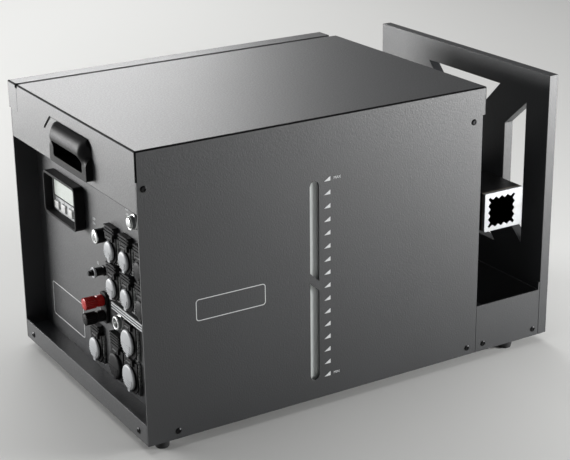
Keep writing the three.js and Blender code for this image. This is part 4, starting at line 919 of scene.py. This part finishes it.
cover_screws = []
contacts = bmesh.new()
for name, y, z, radius, block in sockets:
    half = radius + flange_side
    near_edge, far_edge = y - half, y + half
    low_edge, high_edge = z - radius - flange_below, z + radius + flange_above
    axis_z = z + radius + hinge_offset
    base_outline = rounded_outline(near_edge, far_edge, low_edge, high_edge, 1.5)
    base = new_plate(base_outline, plate_front, plate_back, facing_end)
    round_edges(made_piece(f"socket_{name}_plate", base, plated_steel, "machine"), 0.3, 1)
    cover_outline = [
        (near_edge + near_corner, low_edge), (far_edge - 1, low_edge), (far_edge, low_edge + 1),
        (far_edge, high_edge - far_corner), (y + hinge_half, high_edge - 1),
        (y + hinge_half, z + radius + 1), (y - hinge_half, z + radius + 1),
        (y - hinge_half, high_edge), (near_edge + 1, high_edge), (near_edge, high_edge - 1),
        (near_edge, low_edge + near_corner),
    ]
    cover = new_plate(cover_outline, cover_front, cover_back, facing_end)
    bore_radius = radius - 1.6
    bore_profile = [(20, 0), (20, bore_radius), (28, bore_radius), (28, 0)]
    bore_plug = add_turned(bmesh.new(), bore_profile, (y, z), "X")
    cover = combine(cover, bore_plug, "DIFFERENCE")
    for lug_near in (y - hinge_half - lug_width, y + hinge_half):
        add_block(cover, lug_front, cover_back, lug_near, lug_near + lug_width, axis_z - 2.5, axis_z + 5.5)
    bar_half = hinge_half + 0.2
    add_block(cover, bar_front, cover_back, y - bar_half, y + bar_half, axis_z + 3.0, axis_z + 5.4)
    round_edges(made_piece(f"socket_{name}_cover", cover, matt_nylon, "machine",
                           [f"socket_{name}"]), 0.5)
    turned_piece(f"socket_{name}_collar", [
        (44, 0), (44, radius - 3.5), (23.5, radius - 3.5), (23, radius - 3.0), (23, radius - 1.9),
        (23.4, radius - 1.5), (55.9, radius - 1.5), (55.9, 0),
    ], (y, z), "X", matt_nylon, "machine")
    pin = new_rod(hinge_half + pin_past_hinge, pin_radius, (hinge_x, y, axis_z), 12)
    made_piece(f"socket_{name}_pin", pin, plated_steel, "machine")
    if block:
        rib_count = round(block / rib_spacing)
        rib_height = block / (2 * rib_count - 1)
        foot = axis_z + 5.5
        stop = add_block(
            bmesh.new(), stop_front, plate_back, y - stop_half, y + stop_half, foot, foot + block)
        round_edges(
            made_piece(f"socket_{name}_stop", stop, matt_nylon, "machine"), 0.4, 1)
        stop_rib = new_rib(y - stop_half, y + stop_half, lug_front, stop_front + 0.2, foot, rib_height)
        straight_row(f"socket_{name}_ribs", stop_rib, rib_count, (0, 0, 2 * rib_height), matt_nylon)
    cover_screws.append((plate_front, far_edge - screw_inset, high_edge - screw_inset, control_side))
    cover_screws.append((plate_front, near_edge + screw_inset, low_edge + screw_inset, control_side))
    core = radius - 5
    add_turned(contacts, [(29, 0), (29, core - 0.6), (29.6, core), (44, core), (44, 0)], (y, z), "X", 24)
    for i in range(3):
        angle = math.radians(90 + 120 * i)
        reach = core * 0.55
        add_turned(contacts, [(26.5, 0), (26.8, 0.9), (29.2, 0.9), (29.2, 0)],
                   (y + reach * math.cos(angle), z + reach * math.sin(angle)), "X", 8)
made_piece("socket_contacts", contacts, matt_nylon, "machine")
screw_row("socket_screws", cover_screws, screw_radius)


# Ribbed bar. A black moulded strip between the upper and the lower sockets, on a lug
# that is clipped into the panel. Three ribs run along its front, drawn pale grey as a painted highlight on
# their lit tops.
bar_near, bar_far, bar_foot, bar_height, bar_rib_height = 52, 136, 120.0, 9.0, 1.8
bar = add_block(bmesh.new(), 24.5, plate_back, bar_near, bar_far, bar_foot, bar_foot + bar_height)
add_block(bar, 27.2, plate_back, 85, 99, 114.5, bar_foot + 1)
round_edges(made_piece("ribbed_bar", bar, matt_nylon, "machine"), 0.4, 1)
bar_rib = new_rib(bar_near, bar_far, 23.0, 24.7, bar_foot, bar_rib_height, 0.4)
# The ribs are pale grey as a painted highlight.
straight_row("ribbed_bar_ribs", bar_rib, 3, (0, 0, 2 * bar_rib_height), grey_nylon)


# Socket flaps. Domed discs with level grip ribs and a thumb lip, on a sprung hinge.
# Most are satin grey nylon; three are matt black, and on c1 and c2 this black is painted shade for the
# shadow on the near column.
barrel_half, barrel_radius, pin_bore = 5.5, 2.5, 1.2
grip_count, grip_first, grip_pitch, grip_half_height = 4, 0.12, 0.19, 0.55
for name, y, z, radius, block in sockets:
    flap_finish, flap_slot = grey_nylon, "grey_moulding"
    if name in black_and_shaded_flaps:
        flap_finish, flap_slot = matt_nylon, "black_moulding"
    plug = radius - 4.2
    axis_z = z + radius + hinge_offset
    flap = add_turned(bmesh.new(), [
        (18.7, 0), (18.74, radius * 0.2), (18.85, radius * 0.4), (19.05, radius * 0.6),
        (19.35, radius * 0.78), (19.7, radius - 1.8), (20.1, radius - 0.9), (20.7, radius - 0.25),
        (21.3, radius), (22.2, radius),
        (22.5, radius - 0.3), (22.5, plug), (24.2, plug), (24.5, plug - 0.4), (24.5, 0),
    ], (y, z), "X", 40)
    rim = z - radius
    lip = new_plate([(y - 3.2, rim + 2), (y - 3.2, rim - 1.6), (y - 2, rim - 2.6),
                     (y + 2, rim - 2.6), (y + 3.2, rim - 1.6), (y + 3.2, rim + 2)],
                    20.4, 22.5, facing_end)
    flap = combine(flap, lip, "UNION")
    made_piece(f"flap_{name}_disc", flap, flap_finish, f"flap_{name}", [f"flap_{name}"], 40)
    hinge_place = (hinge_x, y, axis_z)
    arm = add_block(bmesh.new(), 21.6, 22.5, y - 3, y + 3, z + radius + 0.2, axis_z + 0.6)
    barrel = combine(new_rod(barrel_half, barrel_radius, hinge_place, 20), arm, "UNION")
    barrel = combine(barrel, new_rod(barrel_half + 3.5, pin_bore, hinge_place, 12), "DIFFERENCE")
    made_piece(f"flap_{name}_hinge", barrel, matt_nylon, f"flap_{name}", (), 40)
    grips = bmesh.new()
    for step in range(grip_count):
        drop = radius * (grip_first + grip_pitch * step)
        half = math.sqrt((radius - 1.6) ** 2 - drop ** 2) * 0.86
        front = 18.45 + 0.9 * (drop / radius) ** 2
        grip = rounded_outline(
            y - half, y + half, z - drop - grip_half_height, z - drop + grip_half_height, 0.5, 2)
        add_plate(grips, grip, front, front + 1.6, facing_end)
    made_piece(f"flap_{name}_grips", grips, flap_finish, f"flap_{name}")


# Bulkhead, hinge strip and lid. The bulkhead shuts the body off from the nozzle bay.
# The lid is one folded sheet, and it turns on a long hinge along the fixed rear strip.
rounded_copy("bay_bulkhead", "machine", 0.5, black_coat)
outside_low, outside_nozzle_end, outside_far, outside_top = -1.4, 481.9, 369.4, 359.9


def cover_bend(x, y, z):
    """Whether an edge is an outer fold of the lid or of the rear strip."""
    at_end = x[1] < outside_low or x[0] > outside_nozzle_end
    at_side = y[1] < outside_low or y[0] > outside_far
    upright = z[1] - z[0] > long_fold and at_side and at_end
    return upright or z[0] > outside_top and (at_side or at_end)


# The outer folds of the lid and the strip take the painted shade line.
for node, body in (("lid", "lid"), ("rear_strip", "machine")):
    bent_copy(node, body, cover_bend, 1.9, 4, 0.35, black_coat, fold_shade_coat)


# Guard plate. A folded pan across the nozzle end, with four windows round a bearing
# boss, so that the flame shows while nothing can reach the nozzle.
rounded_copy("guard_plate", "machine", 0.6, black_coat)


# Nozzle head. A folded stainless box on the end of the swivel, with a toothed mouth cut
# in its bright face. Behind the face the sheet is drawn with heat tints and then near
# black as painted shade for its unlit top and sides. A brass jet stands inside it.
def burnt_and_shaded_stainless():
    """Stainless sheet, bright and finely scratched at its face; behind it heat tints, and then near black
    as painted shade.
    """
    finish, tree, shader = start_finish("stainless_with_heat_tint_and_painted_shade", "#A6A8AA", 1.0, 0.3)
    place = add_node(tree, "ShaderNodeTexCoord").outputs["Object"]
    parts = add_node(tree, "ShaderNodeSeparateXYZ", inputs={"Vector": place})
    waver_per_metre, scratch_per_metre, scratch_depth_mm = 60.0, 2500.0, 0.01
    waver = add_node(tree, "ShaderNodeTexNoise", inputs={
        "Vector": place, "Scale": waver_per_metre, "Detail": 3.0})
    face_depth, dark_depth = -0.1636, -0.1560
    depth = add_node(tree, "ShaderNodeMapRange", inputs={
        "Value": parts.outputs["Y"], "From Min": face_depth, "From Max": dark_depth})
    shift = add_node(tree, "ShaderNodeMath", {"operation": "MULTIPLY_ADD"}, {
        0: waver.outputs["Fac"], 1: 0.5, 2: -0.25})
    wavered = add_node(tree, "ShaderNodeMath", {"operation": "ADD", "use_clamp": True}, {
        0: depth.outputs["Result"], 1: shift.outputs[0]})
    # The ramp runs from bright steel through heat tints to near black, which is painted shade.
    tint_and_shade = add_node(tree, "ShaderNodeValToRGB", inputs={"Fac": wavered.outputs[0]})
    ramp = tint_and_shade.color_ramp
    ramp.elements[0].position, ramp.elements[0].color = 0.0, linear("#A6A8AA")
    ramp.elements[1].position, ramp.elements[1].color = 1.0, linear("#1B1A1B")
    for position, colour in ((0.3, "#958F82"), (0.5, "#6E5C4C"), (0.7, "#2E3038")):
        ramp.elements.new(position).color = linear(colour)
    tree.links.new(tint_and_shade.outputs["Color"], shader.inputs["Base Color"])
    drawn = add_node(tree, "ShaderNodeMapping", inputs={"Vector": place, "Scale": (0.06, 1, 1)})
    scratch = add_node(tree, "ShaderNodeTexNoise", inputs={
        "Vector": drawn.outputs["Vector"], "Scale": scratch_per_metre, "Detail": 2.0})
    add_relief(tree, shader, scratch.outputs["Fac"], 0.32, 0.5, scratch_depth_mm)
    return finish


burnt_and_shaded_sheet = burnt_and_shaded_stainless()
head_left, head_right, head_face, head_back, head_low, head_high = 501.0, 563.0, 18.0, 98.0, 157.5, 209.5
head_sheet, mouth_left, mouth_foot, mouth_size = 1.5, 506.8, 162.2, 43.4
mouth_teeth, tooth_depth, mouth_squash = 4, 3.6, 0.95
mouth_from, mouth_to = 10, 21
head_outline = rounded_outline(head_left, head_right, head_low, head_high, 1.2, 2)
head_shape = new_plate(head_outline, head_face, head_back, facing_side)
inside = new_plate([
    (head_left + head_sheet, head_low + head_sheet), (head_right - head_sheet, head_low + head_sheet),
    (head_right - head_sheet, head_high - head_sheet), (head_left + head_sheet, head_high - head_sheet),
], head_face + head_sheet, head_back - head_sheet, facing_side)
mouth_points = []
for turn in range(4):
    for step in range(2 * mouth_teeth + 1):
        along = mouth_size * (step + 0.5) / (2 * mouth_teeth + 1)
        inward = tooth_depth if step % 2 else 0.0
        u, v = [(along, inward), (mouth_size - inward, along), (mouth_size - along, mouth_size - inward),
                (inward, mouth_size - along)][turn]
        mouth_points.append((mouth_left + u, mouth_foot + v * mouth_squash))
# The inside and the mouth are joined and then cut at once, so that the box stays one shell.
inside = combine(inside, new_plate(mouth_points, mouth_from, mouth_to, facing_side), "UNION")
head_shape = combine(head_shape, inside, "DIFFERENCE")
round_edges(made_piece("nozzle_head_box", head_shape, burnt_and_shaded_sheet, "swivel",
                       ["nozzle_housing"], 40), 0.2, 1)
rounded_copy("nozzle_jet", "swivel", 0.3, machined_brass)
# The arm is drawn darker and duller than the black coat: painted shade, for it lies unlit behind the head.
shade_black_steel = grained_finish(
    "painted_shade_black_steel", "#0B0B0B", "#121212", 1.6, 0.7, 0.05, Specular_IOR_Level=0.1)
rounded_copy("swivel_arm", "swivel", 0.6, shade_black_steel)


# Swivel drive. A zinc-plated gear on the nozzle shaft is turned by a brass pinion on a
# geared motor, which hangs from a plate on four posts behind the bulkhead.
zinc_steel = chrome_finish("zinc_plated_steel", "#8C8F92", "#9DA0A2", 0.34)
rounded_copy("swivel_gear", "swivel", 0.25, zinc_steel, 1)
rounded_copy("motor_pinion", "pinion", 0.2, machined_brass, 1)
rounded_copy("swivel_motor", "machine", 0.8, zinc_steel, 3)


# Fuel tank. Blow-moulded natural polyethylene, milky and slightly waxy, with round
# corners; the screw cap on its neck is black with a ring of grip ribs.
milky_tank = grained_finish("natural_polyethylene", "#D3D7D6", "#DEE2E0", 3.0, 0.42, 0.02)
walls_left, walls_right, walls_near, walls_far = 133.5, 326.5, 8.5, 181.5
tank_floor, tank_roof, tank_corner = 2.4, 291.9, 100


def tank_bend(x, y, z):
    """Whether an edge is one of the tank's outer edges."""
    inside = walls_left < x[0] and x[1] < walls_right and walls_near < y[0] and y[1] < walls_far
    return not inside and (z[1] - z[0] > tank_corner or z[0] > tank_roof or z[1] < tank_floor)


def facing_up(u, v, w):
    """Across X and Y, as high as w along Z."""
    return (u, v, w)


bent_copy("fuel_tank", "machine", tank_bend, 5.0, 4, 0.4, milky_tank, milky_tank)
cap_x, cap_y = 230.0, 95.0
cap_low, cap_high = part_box("filler_cap")
cap_foot, cap_top = (point[2] / millimetre + origin_z for point in (cap_low, cap_high))
turned_piece("filler_cap_shell", [
    (cap_top, 0), (cap_top, 20), (cap_top - 0.3, 26), (cap_top - 1.2, 31), (cap_top - 3, 33),
    (cap_foot + 1, 33), (cap_foot, 32.4), (cap_foot, 28.2), (cap_top - 3.4, 28.2), (cap_top - 3.4, 0),
], (cap_x, cap_y), "Z", black_nylon, "filler_cap", ["filler_cap"], 64)
cap_rib = bmesh.new()
add_plate(cap_rib, [(32.6, -0.9), (33.95, -0.5), (33.95, 0.5), (32.6, 0.9)],
          cap_foot + 1 - cap_top, -3.2, facing_up)
ring_of_ribs("filler_cap_ribs", cap_rib, 40, (cap_x, cap_y, cap_top), "Z", black_nylon,
             "filler_cap")


# Pump and ignition transformer. Bolted to the tray beside the tank: a zinc-plated
# dosing pump with two hose ports, and a block of grey potting resin with insulators.
grey_resin = grained_finish("grey_potting_resin", "#6F7274", "#7C7F81", 1.6, 0.5)
rounded_copy("fuel_pump", "machine", 1.0, zinc_steel, 3)
rounded_copy("ignition_transformer", "machine", 1.2, grey_resin, 3)


# Feet. Four buffers of black rubber, turned to shape, each on a stud that is screwed
# up into the tray near a corner.
black_rubber = grained_finish("black_buffer_rubber", "#1A1A1B", "#232324", 1.2, 0.75, 0.05)
for number in range(1, 5):
    rounded_copy(f"foot_{number}", "machine", 0.8, black_rubber, 2)
